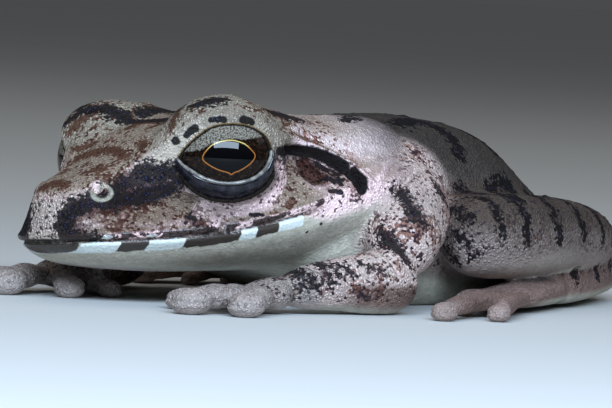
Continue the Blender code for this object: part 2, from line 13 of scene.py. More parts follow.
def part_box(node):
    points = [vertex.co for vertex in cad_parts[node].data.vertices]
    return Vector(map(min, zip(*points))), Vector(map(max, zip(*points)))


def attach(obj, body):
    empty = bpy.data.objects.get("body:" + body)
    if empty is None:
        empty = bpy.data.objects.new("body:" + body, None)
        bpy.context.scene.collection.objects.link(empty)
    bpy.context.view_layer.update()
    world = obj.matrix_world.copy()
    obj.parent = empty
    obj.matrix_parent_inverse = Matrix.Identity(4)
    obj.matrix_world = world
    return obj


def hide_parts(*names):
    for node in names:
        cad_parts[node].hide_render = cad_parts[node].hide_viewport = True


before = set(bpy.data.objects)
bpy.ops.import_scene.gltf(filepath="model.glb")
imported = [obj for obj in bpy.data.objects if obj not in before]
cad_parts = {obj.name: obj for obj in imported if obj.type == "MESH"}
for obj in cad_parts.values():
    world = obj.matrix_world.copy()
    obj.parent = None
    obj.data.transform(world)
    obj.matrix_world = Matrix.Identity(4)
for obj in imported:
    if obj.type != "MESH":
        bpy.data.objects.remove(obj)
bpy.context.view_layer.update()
MM = 0.001
scene = bpy.context.scene

# %% [markdown]
# ## The frog's own axes
# All shapes are worked out in millimetres with x running back from the neck, y to the frog's right and
# z up from the floor. The head has axes of its own, because the frog turns it a little to the right and
# tips it. Both are only rotations and shifts of rows of points, so one matrix product moves a whole form.

# %% Turning the head and finding the frame
HEAD_AT = np.array([0.0, 0.0, 6.75])


def turning(axis, degrees):
    """A rotation matrix about x, y or z."""
    return np.array(Matrix.Rotation(np.radians(degrees), 3, axis))


HEAD_TURN = turning("Z", -9.0) @ turning("Y", -4.0) @ turning("X", -4.5)


def from_head(points):
    """Points of the head's own axes in those of the body: turned, then lifted to the neck."""
    return np.asarray(points) @ HEAD_TURN.T + HEAD_AT


def to_head(points):
    """The way back: points of the body in the head's own axes."""
    return (points - HEAD_AT) @ HEAD_TURN


EYE = np.array([-10.9, 7.4, 5.7])
EYE_RADIUS = 4.2
low, high = (np.array(corner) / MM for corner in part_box("eye_left"))
SLIDE = np.array([((low + high) / 2 - from_head(EYE * (1, -1, 1)))[0], 0, 0])
print("the frog's axes sit at x =", round(float(SLIDE[0]), 3), "mm in the frame")

# %% [markdown]
# ## Smooth curves
# A form is a stack of rings. Sizes are known at a few stations only, so a smooth curve reads the values
# between them: it passes through all of them and has no kinks, as skin has none.

# %% Reading between stations


def smooth(at, knots, values):
    """Reads a curve through the values at the knots, with slopes taken from the knots on either side."""
    at, knots, values = (np.asarray(a, float) for a in (at, knots, values))
    slopes = np.gradient(values, knots, axis=0)
    i = np.clip(np.searchsorted(knots, at, side="right") - 1, 0, len(knots) - 2)
    span = knots[i + 1] - knots[i]
    u = (at - knots[i]) / span
    if values.ndim > 1:
        u, span = u[..., None], span[..., None]
    rise = values[i + 1] - values[i]
    bend = span * (slopes[i] * (1 - u) - slopes[i + 1] * u) - rise * (1 - 2 * u)
    return values[i] + rise * u + u * (1 - u) * bend


print("a curve through 0, 1 and 4 reads", smooth(0.5, (0, 1, 2), (0, 1, 4)), "halfway to the 1")

# %% [markdown]
# ## Closed skins
# Rings are sewn to a closed skin, and both ends are drawn together to one point, so that no hole is left.
# A mesh is read as whole columns of numbers, because a loop over a hundred thousand points would take
# minutes.

# %% Sewing rings to a closed mesh


def column(items, field, width=1, kind=float):
    """One field of all points, edges or faces of a mesh, a row for each."""
    flat = np.empty(len(items) * width, kind)
    items.foreach_get(field, flat)
    return flat.reshape(-1, width)


def sewn(rings):
    """Points and faces of a closed skin: corner j of a ring joins corner j of the next; ends are points."""
    n, m = rings.shape[:2]
    points = np.concatenate([rings[:1, 0], rings[1:-1].reshape(-1, 3), rings[-1:, 0]])
    j = np.arange(m)
    j_next = (j + 1) % m
    k = 1 + np.arange(n - 3)[:, None] * m
    quads = np.stack([k + j, k + j_next, k + m + j_next, k + m + j], -1).reshape(-1, 4)
    first = np.stack([np.zeros_like(j), 1 + j_next, 1 + j], 1)
    base = 1 + (n - 3) * m
    last = np.stack([base + j, base + j_next, np.full_like(j, len(points) - 1)], 1)
    return points, quads.tolist() + first.tolist() + last.tolist()


def piece(name, points, faces):
    """A mesh object in the frame's metres, with its faces turned outwards."""
    mesh = bpy.data.meshes.new(name)
    mesh.from_pydata(((np.asarray(points) + SLIDE) * MM).tolist(), [], faces)
    mesh.update()
    centres, normals = (column(mesh.polygons, field, 3) for field in ("center", "normal"))
    if (centres * normals * column(mesh.polygons, "area")).sum() < 0:
        mesh.flip_normals()
    obj = bpy.data.objects.new(name, mesh)
    scene.collection.objects.link(obj)
    return obj


# %% [markdown]
# ## The head's form
# Seen from above the head is a blunt arrow, from the side a wedge. Each section is drawn through a few
# marks that an anatomist would name: crown, brow, cheek, lip and throat, with a slight step at the lip so
# that the upper jaw overhangs the lower one.

# %% The head as sections along its length
HEAD_LENGTH, HEAD_REACH, SNOUT_LEAN = 24.3, 33.0, 0.16
HEAD_STEPS = (0.0, 0.1, 0.2, 0.35, 0.5, 0.7, 0.85, 1.0)
LIP_HALF_WIDTH = (0.0, 2.9, 4.9, 7.4, 9.6, 11.6, 12.3, 11.6)
BROW_HALF_WIDTH = (0.0, 1.9, 2.9, 3.7, 4.9, 7.0, 7.8, 8.0)
CROWN_HEIGHT = (1.6, 3.7, 4.6, 5.6, 7.9, 9.4, 8.6, 8.2)
BROW_HEIGHT = (1.6, 3.2, 4.0, 5.0, 6.8, 7.8, 7.4, 6.9)
LIP_HEIGHT = (1.6, 0.3, -0.2, -0.3, -0.3, 0.5, 2.1, 2.8)
THROAT_HEIGHT = (1.6, -0.9, -1.7, -2.6, -3.3, -3.9, -4.2, -4.4)


def closed_sections(half, x):
    """Turns half sections, given as (mark, station, (out, up)), into whole smooth rings along x."""
    marks, stations = half.shape[:2]
    fine = 4 * (marks - 1) + 1
    at = np.linspace(0, marks - 1, fine)
    across = smooth(at, np.arange(marks), half.reshape(marks, -1)).reshape(fine, stations, 2)
    whole = np.concatenate([across, across[-2:0:-1] * (-1, 1)])
    rings = np.empty((stations, len(whole), 3))
    rings[..., 0] = x[:, None]
    rings[..., 1] = whole[..., 0].T
    rings[..., 2] = whole[..., 1].T
    return rings


def head_form():
    """x = -length + reach (1 - cos(s pi / 2)), and at each s a section through the eight marks."""
    s = np.linspace(0, 1, 60)
    x = -HEAD_LENGTH + HEAD_REACH * (1 - np.cos(s * np.pi / 2))
    lip, brow, crown, brow_z, lip_z, throat = (
        smooth(s, HEAD_STEPS, values)
        for values in (LIP_HALF_WIDTH, BROW_HALF_WIDTH, CROWN_HEIGHT, BROW_HEIGHT, LIP_HEIGHT, THROAT_HEIGHT)
    )
    zero = np.zeros_like(s)
    half = np.stack([
        np.stack([zero, crown], 1),
        np.stack([0.55 * brow, crown - 0.04 * (crown - brow_z)], 1),
        np.stack([brow, brow_z], 1),
        np.stack([brow + 0.5 * (lip - brow), lip_z + 0.5 * (brow_z - lip_z)], 1),
        np.stack([0.96 * lip, lip_z + 0.22 * (brow_z - lip_z)], 1),
        np.stack([lip, lip_z + 0.04 * (brow_z - lip_z)], 1),
        np.stack([0.95 * lip, lip_z + 0.3 * (throat - lip_z)], 1),
        np.stack([0.62 * lip, throat + 0.14 * (lip_z - throat)], 1),
        np.stack([zero, throat], 1),
    ])
    rings = closed_sections(half, x)
    lean = SNOUT_LEAN * smooth(s, (0, 0.2, 0.5, 1), (1, 1, 0, 0))
    rings[..., 0] += lean[:, None] * (rings[..., 2] - lip_z[:, None]).clip(0)
    rings[-1] = rings[-1].mean(0)
    return from_head(rings)


forms = [head_form()]
print("head form:", forms[0].shape[:2], "rings and corners")

# %% [markdown]
# ## The trunk
# Behind the head the body is a low barrel with a flat belly, highest over the bend of the back, and it
# narrows quickly to the hips. The ends close with a high power of the distance from the middle, which
# keeps the barrel full until shortly before its tips.

# %% The trunk as sections along its length
TRUNK_STEPS = (-8.0, -3.0, 3.0, 9.0, 16.0, 22.0, 28.0, 34.0, 39.0, 43.0)
TRUNK_HALF_WIDTH = (8.0, 10.2, 11.0, 11.2, 10.9, 10.0, 8.2, 6.2, 4.4, 3.0)
TRUNK_TOP = (12.6, 13.9, 15.2, 15.7, 15.8, 14.8, 11.8, 8.7, 7.2, 6.1)
TRUNK_BOTTOM = (3.0, 2.4, 1.0, -0.3, -0.5, -0.5, -0.3, 0.6, 1.9, 3.2)


def trunk_form():
    """Half sections run from the ridge of the back over the flank to the belly's middle."""
    start, end = TRUNK_STEPS[0], TRUNK_STEPS[-1]
    x = start + (end + 1.6 - start) * (1 - np.cos(np.linspace(0, np.pi, 60))) / 2
    width, top, bottom = (
        smooth(x.clip(start, end), TRUNK_STEPS, values)
        for values in (TRUNK_HALF_WIDTH, TRUNK_TOP, TRUNK_BOTTOM)
    )
    share = (x - start) / (x[-1] - start)
    close = np.sqrt(1 - np.abs(2 * share - 1) ** 16)
    height, width = (top - bottom) * close, width * close
    low = (top + bottom) / 2 - height / 2
    marks = ((0, 1), (0.5, 0.95), (0.84, 0.74), (1, 0.42), (0.9, 0.14), (0.6, 0.01), (0, 0))
    half = np.stack([np.stack([out * width, low + up * height], 1) for out, up in marks])
    return closed_sections(half, x)


forms.append(trunk_form())

# %% [markdown]
# ## Rounded forms along paths
# Arms and legs are sausages that swell over the muscle and taper to the joint. Such a form is an ellipse
# carried along a smooth path, with its ends rounded off. Where no path is needed an ellipsoid serves.

# %% Ellipses carried along paths


def carried(points, radii, around=36, along=40, up=(0, 0, 1)):
    """Ellipses with half axes (wide, high) along a smooth path; both shrink as sqrt(1 - |2t - 1|^p)."""
    points, radii = np.asarray(points, float), np.asarray(radii, float)
    steps = np.concatenate([[0], np.cumsum(np.linalg.norm(np.diff(points, axis=0), axis=1))])
    length = steps[-1]
    t = (1 - np.cos(np.linspace(0, np.pi, along + 1))) / 2
    centres = smooth(t * length, steps, points)
    tangent = np.gradient(centres, axis=0)
    tangent /= np.linalg.norm(tangent, axis=1, keepdims=True)
    across = np.cross(np.asarray(up, float), tangent)
    across /= np.linalg.norm(across, axis=1, keepdims=True)
    above = np.cross(tangent, across)
    power = max(2.4, 1.15 * length / radii.mean())
    size = smooth(t * length, steps, radii) * np.sqrt(1 - np.abs(2 * t - 1) ** power)[:, None]
    size[[0, -1]] = 0
    angle = np.linspace(0, 2 * np.pi, around, endpoint=False)
    wide = across[:, None] * (size[:, :1] * np.cos(angle))[..., None]
    return centres[:, None] + wide + above[:, None] * (size[:, 1:] * np.sin(angle))[..., None]


def globe(tilt, around):
    """Rings on a ball of radius 1: (sin a cos b, sin a sin b, cos a), with a the tilt and b the turn."""
    a, b = np.meshgrid(tilt, np.linspace(0, 2 * np.pi, around, endpoint=False), indexing="ij")
    return np.stack([np.sin(a) * np.cos(b), np.sin(a) * np.sin(b), np.cos(a)], -1)


def ball(centre, radii, turn=np.eye(3), around=40, along=28):
    """An ellipsoid: a globe times its half axes, then turned and placed."""
    return (globe(np.linspace(0, np.pi, along), around) * radii) @ turn.T + np.asarray(centre)


# %% [markdown]
# ## Limbs, brows and lids
# The frog sits with its arms folded under the breast and its hind legs folded against the flanks. Each
# limb is given by the places of its middle line and, at the same places, by its half width and half
# height. The brow ridges are made the same way and the bulging lids are ellipsoids, and the skin will be
# blended over all of them in one go.

# %% Arms, legs, brows and lids
LIMBS = {
    "upper arm": (((7.6, 8.8, 10.8), (4.4, 11.2, 8.4), (0.8, 13.6, 5.2), (-0.6, 14.6, 3.2)),
                  ((3.0, 3.4), (3.3, 3.6), (3.1, 3.0), (2.6, 2.5))),
    "forearm": (((0.6, 14.6, 2.7), (-3.0, 14.4, 2.6), (-7.5, 13.0, 2.4), (-12.2, 11.7, 1.9)),
                ((2.3, 2.5), (2.4, 2.6), (2.0, 2.1), (1.7, 1.6))),
    "thigh": (((35.6, 4.8, 5.2), (29.0, 7.4, 5.3), (19.0, 10.2, 6.0), (8.9, 12.4, 6.8)),
              ((2.6, 2.8), (3.8, 3.5), (4.1, 3.6), (3.2, 3.2))),
    "shank": (((7.8, 13.3, 6.1), (14.0, 14.2, 6.3), (24.0, 13.0, 6.2), (38.2, 6.8, 4.6)),
              ((3.2, 3.5), (3.5, 3.6), (3.2, 3.1), (2.0, 2.1))),
    "tarsus": (((39.6, 6.2, 2.9), (34.0, 9.0, 2.5), (28.0, 11.6, 2.1), (21.0, 13.6, 1.8)),
               ((2.1, 2.2), (2.2, 1.9), (2.1, 1.7), (2.2, 1.6))),
    "palm": (((-11.2, 11.9, 1.8), (-13.0, 11.2, 1.6), (-15.0, 10.8, 1.3)),
             ((1.7, 1.6), (2.5, 1.3), (2.4, 1.0))),
    "instep": (((22.6, 13.2, 1.7), (17.0, 14.6, 1.5), (11.6, 16.0, 1.2)),
               ((2.1, 1.5), (2.5, 1.2), (3.0, 0.9))),
}
BROW = (((-19.0, 3.3, 3.8), (-15.5, 4.7, 5.2), (-10.9, 6.0, 6.5), (-5.5, 5.6, 6.4), (0.0, 5.4, 5.7)),
        ((1.0, 1.1), (2.3, 2.3), (4.2, 4.0), (3.4, 3.1), (2.2, 2.5)))
LID_BULGE = ((-10.9, 7.0, 5.6), (5.5, 5.3, 5.15))
BOTH = (np.array([1, -1, 1]), np.array([1, 1, 1]))

for side in BOTH:
    for name, (path, radii) in LIMBS.items():
        forms.append(carried(path * side, radii, up=(1, 0, 0) if name == "upper arm" else (0, 0, 1)))
    forms.append(from_head(carried(BROW[0] * side, BROW[1])))
    forms.append(from_head(ball(LID_BULGE[0] * side, LID_BULGE[1])))
print(len(forms), "forms so far")

# %% [markdown]
# ## Fingers and toes
# A tree frog grips with round discs. Each digit is a thin shaft that thickens at the last knuckle and
# ends in a flattened disc lying on the floor. A row below gives the root, the tip and the disc's radius.

# %% Digits with their discs
FINGERS = (((-13.0, 9.4), (-13.4, 5.6), 1.15), ((-14.6, 10.0), (-17.6, 6.2), 1.4),
           ((-15.2, 11.0), (-21.0, 9.9), 1.65), ((-14.4, 12.2), (-18.3, 13.3), 1.6))
TOES = (((13.4, 14.0), (9.8, 12.3), 0.8), ((12.6, 15.0), (7.6, 14.6), 0.95),
        ((11.4, 16.0), (4.7, 17.4), 1.1), ((11.2, 17.2), (-2.2, 20.7), 1.2),
        ((12.2, 17.8), (2.6, 22.6), 1.1))
FINGER_RADIUS, TOE_RADIUS, ROOT_HEIGHT, DISC_HEIGHT = 0.85, 0.68, 1.25, 0.62
DISC_SHAPE, DISC_TILT = np.array([1.15, 1, 0.66]), 8


def digit(root, tip, disc, radius, side):
    """A carried ellipse for the shaft, thickest at the last knuckle, and a flat ellipsoid for the disc."""
    root, tip = np.array([*root, ROOT_HEIGHT]) * side, np.array([*tip, DISC_HEIGHT * disc]) * side
    way = (tip - root) / np.linalg.norm(tip - root)
    knuckle = tip - way * disc * 1.75
    rise = np.array([0, 0, 0.25])
    path = [root - way * 0.8, (root + knuckle) / 2 + rise, knuckle + rise, tip]
    radii = radius * np.array([(1, 1), (1, 0.9), (1.25, 1.12), (0.7, 0.6)])
    lie = turning("Z", np.degrees(np.arctan2(way[1], way[0]))) @ turning("Y", DISC_TILT)
    return [carried(path, radii, 24, 30), ball(tip, disc * DISC_SHAPE, lie, 30, 22)]


disc_places = []
for side in BOTH:
    for radius, digits in ((FINGER_RADIUS, FINGERS), (TOE_RADIUS, TOES)):
        for root, tip, disc in digits:
            forms += digit(root, tip, disc, radius, side)
            disc_places.append((*(np.array([*tip, DISC_HEIGHT * disc]) * side), disc))
print(len(disc_places), "digits, and", len(forms), "forms with them")

# %% [markdown]
# ## Webs
# Between the toes runs a web: a thin sheet with a hollow outer edge, given its thickness as two layers of
# the same grid.

# %% Webs between the toes
WEB_REACH, WEB_HOLLOW, WEB_HALF_THICKNESS = 0.66, 0.42, 0.3


def capped(loops):
    """Loops with one more at either end, all of whose corners lie in the middle of the last one."""
    ends = [np.repeat(loops[k].mean(0)[None], loops.shape[1], 0)[None] for k in (0, -1)]
    return np.concatenate([ends[0], loops, ends[1]])


def web(one, other, side):
    """Points one (1 - v) + other v, each part way u along its toe, where u shrinks by 4 v (1 - v) hollow."""
    u, v = np.meshgrid(np.linspace(-0.12, 1, 16), np.linspace(0, 1, 14), indexing="ij")
    along = (WEB_REACH * u * (1 - WEB_HOLLOW * 4 * v * (1 - v)))[..., None]
    ends = [[np.array([*toe[0], 1.0]), np.array([*toe[1], 0.6])] for toe in (one, other)]
    lines = [near + (far - near) * along for near, far in ends]
    middle = (lines[0] * (1 - v[..., None]) + lines[1] * v[..., None]) * side
    thick = np.array([0, 0, WEB_HALF_THICKNESS])
    return capped(np.concatenate([middle - thick, (middle + thick)[:, ::-1]], 1))


forms += [web(a, b, side) for side in BOTH for a, b in zip(TOES, TOES[1:])]
print(len(forms), "forms with the webs")

# %% [markdown]
# ## One skin over all forms
# The forms overlap like clay lumps. A voxel remesh reads them as one volume and lays a single even net
# over the outside, so that no seam or hidden wall is left. A net cell of 0.17 mm is fine enough for the
# lids and the line of the mouth.

# %% Joining the forms and laying the net
CELL = 0.17


def joined(rings_of_forms):
    """One point list and one face list over all forms, each form's faces counted on from the last."""
    points, faces, count = [], [], 0
    for rings in rings_of_forms:
        p, f = sewn(rings)
        points.append(p)
        faces += [[i + count for i in face] for face in f]
        count += len(p)
    return np.concatenate(points), faces


def netted(obj, cell):
    """The object's mesh after a voxel remesh with cells of the given size in millimetres."""
    modifier = obj.modifiers.new("net", "REMESH")
    modifier.mode = "VOXEL"
    modifier.voxel_size = cell * MM
    graph = bpy.context.evaluated_depsgraph_get()
    made = bpy.data.meshes.new_from_object(obj.evaluated_get(graph))
    obj.modifiers.clear()
    obj.data = made


def outwards(rings):
    """Rings in the order that makes their faces look outwards, judged by the volume's sign."""
    centre = rings.mean((0, 1))
    a, b = rings[:-1] - centre, rings[1:] - centre
    turn = np.cross(a, np.roll(a, -1, 1))
    return rings if (turn * b).sum() > 0 else rings[:, ::-1]


skin = piece("skin", *joined([outwards(rings) for rings in forms]))
netted(skin, CELL)
print("skin net:", len(skin.data.vertices), "points")

# %% [markdown]
# ## Relaxing the skin
# Where two lumps meet the net has a hard crease. Each point is drawn towards the mean of its neighbours,
# which rounds creases as soft tissue would. Digits are small, so they are relaxed only a little.

# %% Neighbours as arrays


def read_points(mesh):
    """The mesh's points in millimetres and in the frog's own axes."""
    return column(mesh.vertices, "co", 3) / MM - SLIDE


def relaxed(points, edges, rounds, share):
    """Rounds of p + share (mean of neighbours - p)."""
    n = len(points)
    ends = np.concatenate([edges, edges[:, ::-1]])
    valence = np.bincount(ends[:, 0], minlength=n)[:, None]
    for _ in range(rounds):
        total = np.stack([np.bincount(ends[:, 0], points[ends[:, 1], k], n) for k in range(3)], 1)
        points = points + share * (total / valence - points)
    return points


def ramp(value, low, high):
    """0 below low, 1 above high, and 3t^2 - 2t^3 between."""
    t = np.clip((value - low) / (high - low), 0, 1)
    return t * t * (3 - 2 * t)


edges = column(skin.data.edges, "vertices", 2, np.int32)
points = read_points(skin.data)
x, y, z = points.T
is_finger = ramp(-x, 11, 13) * ramp(-z, -3.2, -2.6)
is_toe = ramp(-x, -20, -16) * ramp(np.abs(y), 10.5, 12) * ramp(-z, -2.6, -2.2)
is_digit = np.maximum(is_finger, is_toe)
points = relaxed(points, edges, 6, 0.5)
points = relaxed(points, edges, 26, 0.55 * (1 - is_digit[:, None]))
print("relaxed; lowest point", round(float(points[:, 2].min()), 3))

# %% [markdown]
# ## Sculpting the eyes' openings and lids
# The ball of the eye sits inside the bulge. Seen along its sight, the opening is a rounded shape with a
# pointed front corner. Points inside it sink below the ball, points around it are pressed to a thin
# margin on the ball, and the fullness of the lids comes back over the next millimetre.

# %% The eye's own axes and the outline of its opening
FORWARD, RAISED = np.radians(33.0), np.radians(4.0)
SIGHT = np.array([-np.sin(FORWARD) * np.cos(RAISED), np.cos(FORWARD) * np.cos(RAISED), np.sin(RAISED)])
EYE_BACK = np.cross(SIGHT, (0, 0, 1))
EYE_BACK /= np.linalg.norm(EYE_BACK)
EYE_ABOVE = np.cross(EYE_BACK, SIGHT)
EYE_AXES = np.stack([EYE_BACK, EYE_ABOVE, SIGHT], 1)
LID_RADIUS, EYE_REGION, FAR = 4.4, 7, 9
OPENING_ANGLES = (-8, 9, 20, 36, 58, 75, 91, 115, 130, 146, 160, 170, 181, 190, 207, 222, 236, 258, 281, 303,
                  322, 338, 352, 369)
OPENING_REACH = (3.6, 3.6, 3.48, 3.12, 2.7, 2.5, 2.44, 2.58, 2.72, 2.93, 3.28, 3.62, 3.98, 4.02, 3.9, 3.8,
                 3.7, 3.58, 3.58, 3.7, 3.85, 3.85, 3.6, 3.6)


def right_half(points):
    """The points with those of the left side mirrored to the right, so that one line serves both."""
    return np.column_stack([points[:, 0], np.abs(points[:, 1]), points[:, 2]])


def eye_places(points):
    """(back, up, along the sight) from the centre of the eye on the point's own side of the head."""
    return (right_half(to_head(points)) - EYE) @ EYE_AXES


def opening_at(flat):
    """The angle of places across the sight, from -8 to 352 degrees, and the outline's reach there."""
    angle = np.degrees(np.arctan2(flat[:, 1], flat[:, 0])) % 360
    angle = np.where(angle > 352, angle - 360, angle)
    return angle, smooth(angle, OPENING_ANGLES, OPENING_REACH)


def opening_distance(places):
    """Distance from the outline once drawn to the lid's radius, less than 0 inside; the angle; the reach."""
    drawn = places * (LID_RADIUS / np.linalg.norm(places, axis=1))[:, None]
    angle, reach = opening_at(drawn)
    return np.where(drawn[:, 2] > 0.2, np.hypot(drawn[:, 0], drawn[:, 1]) - reach, 5), angle, reach


def margin_distance(places):
    """r sin(a - b), with a the tilt off the sight and b the tilt of the outline; FAR outside the region."""
    cone = np.arcsin(opening_distance(places)[2] / LID_RADIUS)
    tilt = np.arctan2(np.hypot(places[:, 0], places[:, 1]), places[:, 2])
    reach = np.linalg.norm(places, axis=1)
    return np.where(reach < EYE_REGION, reach * np.sin((tilt - cone).clip(0, np.pi / 2)), FAR)


print("the eye looks", np.round(HEAD_TURN @ SIGHT, 2).tolist())

# %% [markdown]
# ## Opening the lids
# Net points that lie close to the outline are first snapped onto it, which keeps the edge of the opening
# crisp. Then all points move along rays from the ball's centre, so that the lid stays wrapped round it.

# %% Sinking the opening and shaping the margins
MARGIN_RADIUS, LID_FULLNESS, WELL_RADIUS = 4.36, 0.42, 3.7


def with_eye_openings(points):
    """Radial sculpting: r becomes the margin's radius at the outline and keeps its own value 1.6 mm out."""
    places = eye_places(points)
    gap, angle, _ = opening_distance(places)
    off = margin_distance(places)
    near = (places[:, 2] > 0.3) & (off < 1.8)
    here, gap, angle, off = places[near], gap[near], angle[near], off[near]
    reach = np.linalg.norm(here, axis=1)
    flat = np.hypot(here[:, 0], here[:, 1]) * LID_RADIUS / reach
    snap = np.where(np.abs(gap) < 0.6 * CELL, -gap, 0)
    here[:, :2] *= (1 + snap / flat)[:, None]
    here *= (reach / np.linalg.norm(here, axis=1))[:, None]
    gap = gap + snap
    below = ramp(angle, 186, 215) * ramp(-angle, -352, -330)
    margin = MARGIN_RADIUS + 0.42 * below
    rise = margin + (LID_FULLNESS - 0.2 * below) * (1 - np.exp(-(gap.clip(0) / 0.5) ** 2))
    outside = rise + (np.maximum(reach, rise) - rise) * ramp(off, 0.35, 1.6)
    outside -= 0.1 * np.exp(-((gap - 0.95) / 0.16) ** 2) * (1 - below)
    target = np.where(gap < -1e-6, WELL_RADIUS, outside)
    here *= (target / reach)[:, None]
    moved = here @ EYE_AXES.T + EYE
    moved[:, 1] *= np.sign(to_head(points[near])[:, 1])
    points = points.copy()
    points[near] = from_head(moved)
    return points


points = with_eye_openings(points)
print("eye openings sculpted")

# %% [markdown]
# ## Sculpting the mouth, nostrils, ears and folds
# The rest of the face is worked along the skin's normal, as with a loop tool on clay. A groove follows
# the line of the mouth, with a soft lip above it, and both fade towards the corner. The nostril is a
# raised ring round a pit. The eardrum lies in a low ring behind the eye, and a sharp fold runs over it
# down to the shoulder.

# %% Distances to lines on the skin
MOUTH_X = (-28.0, -22.5, -15.0, -10.7, -6.0, -2.0, 2.0, 14.0)
MOUTH_Z = (-0.2, -0.4, -0.4, 0.0, 0.8, 1.9, 2.6, 3.0)
NOSTRIL = np.array([-21.2, 3.8, 3.8])
EAR = np.array([-3.8, 9.9, 4.2])
FOLD = np.array([(-8.3, 10.6, 6.3), (-6.2, 9.8, 6.3), (-4.4, 9.4, 6.2), (-2.8, 9.8, 5.9), (-1.6, 10.5, 5.3),
                 (-0.8, 11.1, 4.6), (-0.3, 11.7, 3.6), (-0.4, 12.1, 2.6), (-0.6, 12.2, 1.6)])
ROUND_NOSTRIL, ROUND_EAR = (0.85, 1, 1.05), (1, 0.6, 0.85)
NEARLY_NOTHING = 1e-9


def near_line(points, line):
    """Distance to a line of points, the place along it from 0 to 1, and the nearest spot on it."""
    best = np.full(len(points), 1e9)
    where = np.zeros(len(points))
    spot = np.zeros_like(points)
    line = np.asarray(line, float)
    for k, (a, b) in enumerate(zip(line[:-1], line[1:])):
        t = np.clip((points - a) @ (b - a) / max((b - a) @ (b - a), NEARLY_NOTHING), 0, 1)
        foot = a + t[:, None] * (b - a)
        far = np.linalg.norm(points - foot, axis=1)
        closer = far < best
        best = np.where(closer, far, best)
        where = np.where(closer, (k + t) / (len(line) - 1), where)
        spot = np.where(closer[:, None], foot, spot)
    return best, where, spot


def refined(line):
    """The line with four places for each one, on a smooth curve."""
    return smooth(np.arange(0, len(line) - 0.9, 0.25), np.arange(len(line)), line)


def laid(line, cloud):
    """The line, refined, with every place moved to the nearest skin point; a fourth number is kept."""
    line = np.array(line, float)
    if len(line) > 1:
        line = refined(line)
    for spot in line:
        spot[:3] = cloud[((cloud - spot[:3]) ** 2).sum(1).argmin()]
    return line


def hill(value, middle, width):
    """A bell of height 1 round the middle."""
    return np.exp(-((value - middle) / width) ** 2)


def around_spot(head, spot, stretch):
    """Distance from the skin's point nearest to the spot, with the axes stretched."""
    return np.linalg.norm((head - laid([spot], head)[0]) * stretch, axis=1)


def above_mouth_line(head):
    """Height over the line of the mouth, in the head's axes."""
    return head[:, 2] - smooth(head[:, 0].clip(MOUTH_X[0], MOUTH_X[-1]), MOUTH_X, MOUTH_Z)


def profile(value, *hills):
    """A sum of bells, each given as its height, its middle and its width."""
    return sum(height * hill(value, middle, width) for height, middle, width in hills)


print("the fold runs over", len(FOLD), "places, from the eye to the shoulder")

# %% [markdown]
# ## The relief of the face
# All features are sums of bell curves over a distance: a bell of negative height is a groove, a ring is a
# bell round a distance greater than 0. The fold is a ridge above and a groove below, so the distance from
# it has a sign.

# %% Lips, nostrils, ears and folds
ACROSS_FOLD = np.array([0.55, 0.0, 0.83])


def face_relief(points):
    """How far each point moves out along its normal: sums of bells over the distances to the features."""
    head = right_half(to_head(points))
    on_face = ramp(-head[:, 0], 2.5, 5.5)
    lips = profile(above_mouth_line(head), (-0.34, 0, 0.17), (0.2, 0.5, 0.34), (-0.12, -0.9, 0.7))
    nostril = profile(around_spot(head, NOSTRIL, ROUND_NOSTRIL), (0.3, 0.62, 0.2), (-0.8, 0, 0.34))
    from_ear = around_spot(head, EAR, ROUND_EAR)
    ear = profile(from_ear, (0.12, 1.3, 0.22), (0.08, 0, 0.4)) - 0.16 * ramp(-from_ear, -1.25, -0.95)
    off, along, spot = near_line(head, laid(FOLD, head))
    off = off * np.sign((head - spot) @ ACROSS_FOLD)
    strength = ramp(along, 0.0, 0.1) * ramp(-along, -1.0, -0.8)
    fold = profile(off, (0.62, 0.55, 0.5), (-0.55, -0.2, 0.3), (-0.12, -1.0, 0.5))
    return on_face * lips + nostril + ear + strength * fold


# %% [markdown]
# ## Creases where the arm meets the body
# Skin gathers in the bends. Each crease is a line with a groove along it and a soft roll on either side.

# %% Lines of the creases
CREASES = (
    ((-2.2, 11.6, 5.2), (-3.0, 13.6, 5.0), (-3.3, 15.4, 4.3), (-3.0, 16.8, 3.2)),
    ((0.4, 12.8, 9.9), (2.6, 12.6, 11.0), (4.6, 12.0, 11.8)),
    ((-0.3, 12.0, 10.4), (1.4, 11.4, 11.8), (3.0, 10.6, 12.9)),
    ((5.6, 13.4, 9.4), (5.0, 14.6, 7.4), (4.0, 15.4, 5.4)),
)


def crease_relief(points):
    """Grooves of depth 0.3 along a few lines, each with a soft roll beside it."""
    body = right_half(points)
    relief = np.zeros(len(points))
    for line in CREASES:
        off, along, _ = near_line(body, laid(line, body))
        strength = ramp(along, 0.0, 0.2) * ramp(-along, -1.0, -0.8)
        relief += strength * profile(off, (0.14, 0.55, 0.3), (-0.3, 0, 0.2))
    return relief


# %% [markdown]
# ## Warts
# The skin carries low warts of two sizes, the larger ones on what is turned up. Space is cut into cubes,
# and each cube holds one dome at a spot that comes from the cube's own numbers, so that the warts are
# scattered but the same in every run.

# %% Domes in the cells of a grid
SCRAMBLE = np.array([[12.9898, 39.346, 73.156], [78.233, 11.135, 52.235], [37.719, 83.155, 9.151]])
SCATTER = 43758.5453


def bumped(points, cell, height, width, seed):
    """The sum of height size exp(-(r / (width size))^2) over the domes of the 27 nearest cells.

    Spot and size of a dome are the remains of a sine of the cell's numbers, which looks like chance.
    """
    total = np.zeros(len(points))
    home = np.floor(points / cell)
    for step in np.ndindex(3, 3, 3):
        corner = home + np.array(step) - 1
        luck = np.modf(np.abs(np.sin(corner @ SCRAMBLE + seed) * SCATTER))[0]
        away = np.linalg.norm(points - (corner + luck) * cell, axis=1)
        size = 0.35 + 0.65 * luck[:, 0]
        total += size * np.exp(-(away / (width * size)) ** 2)
    return height * total


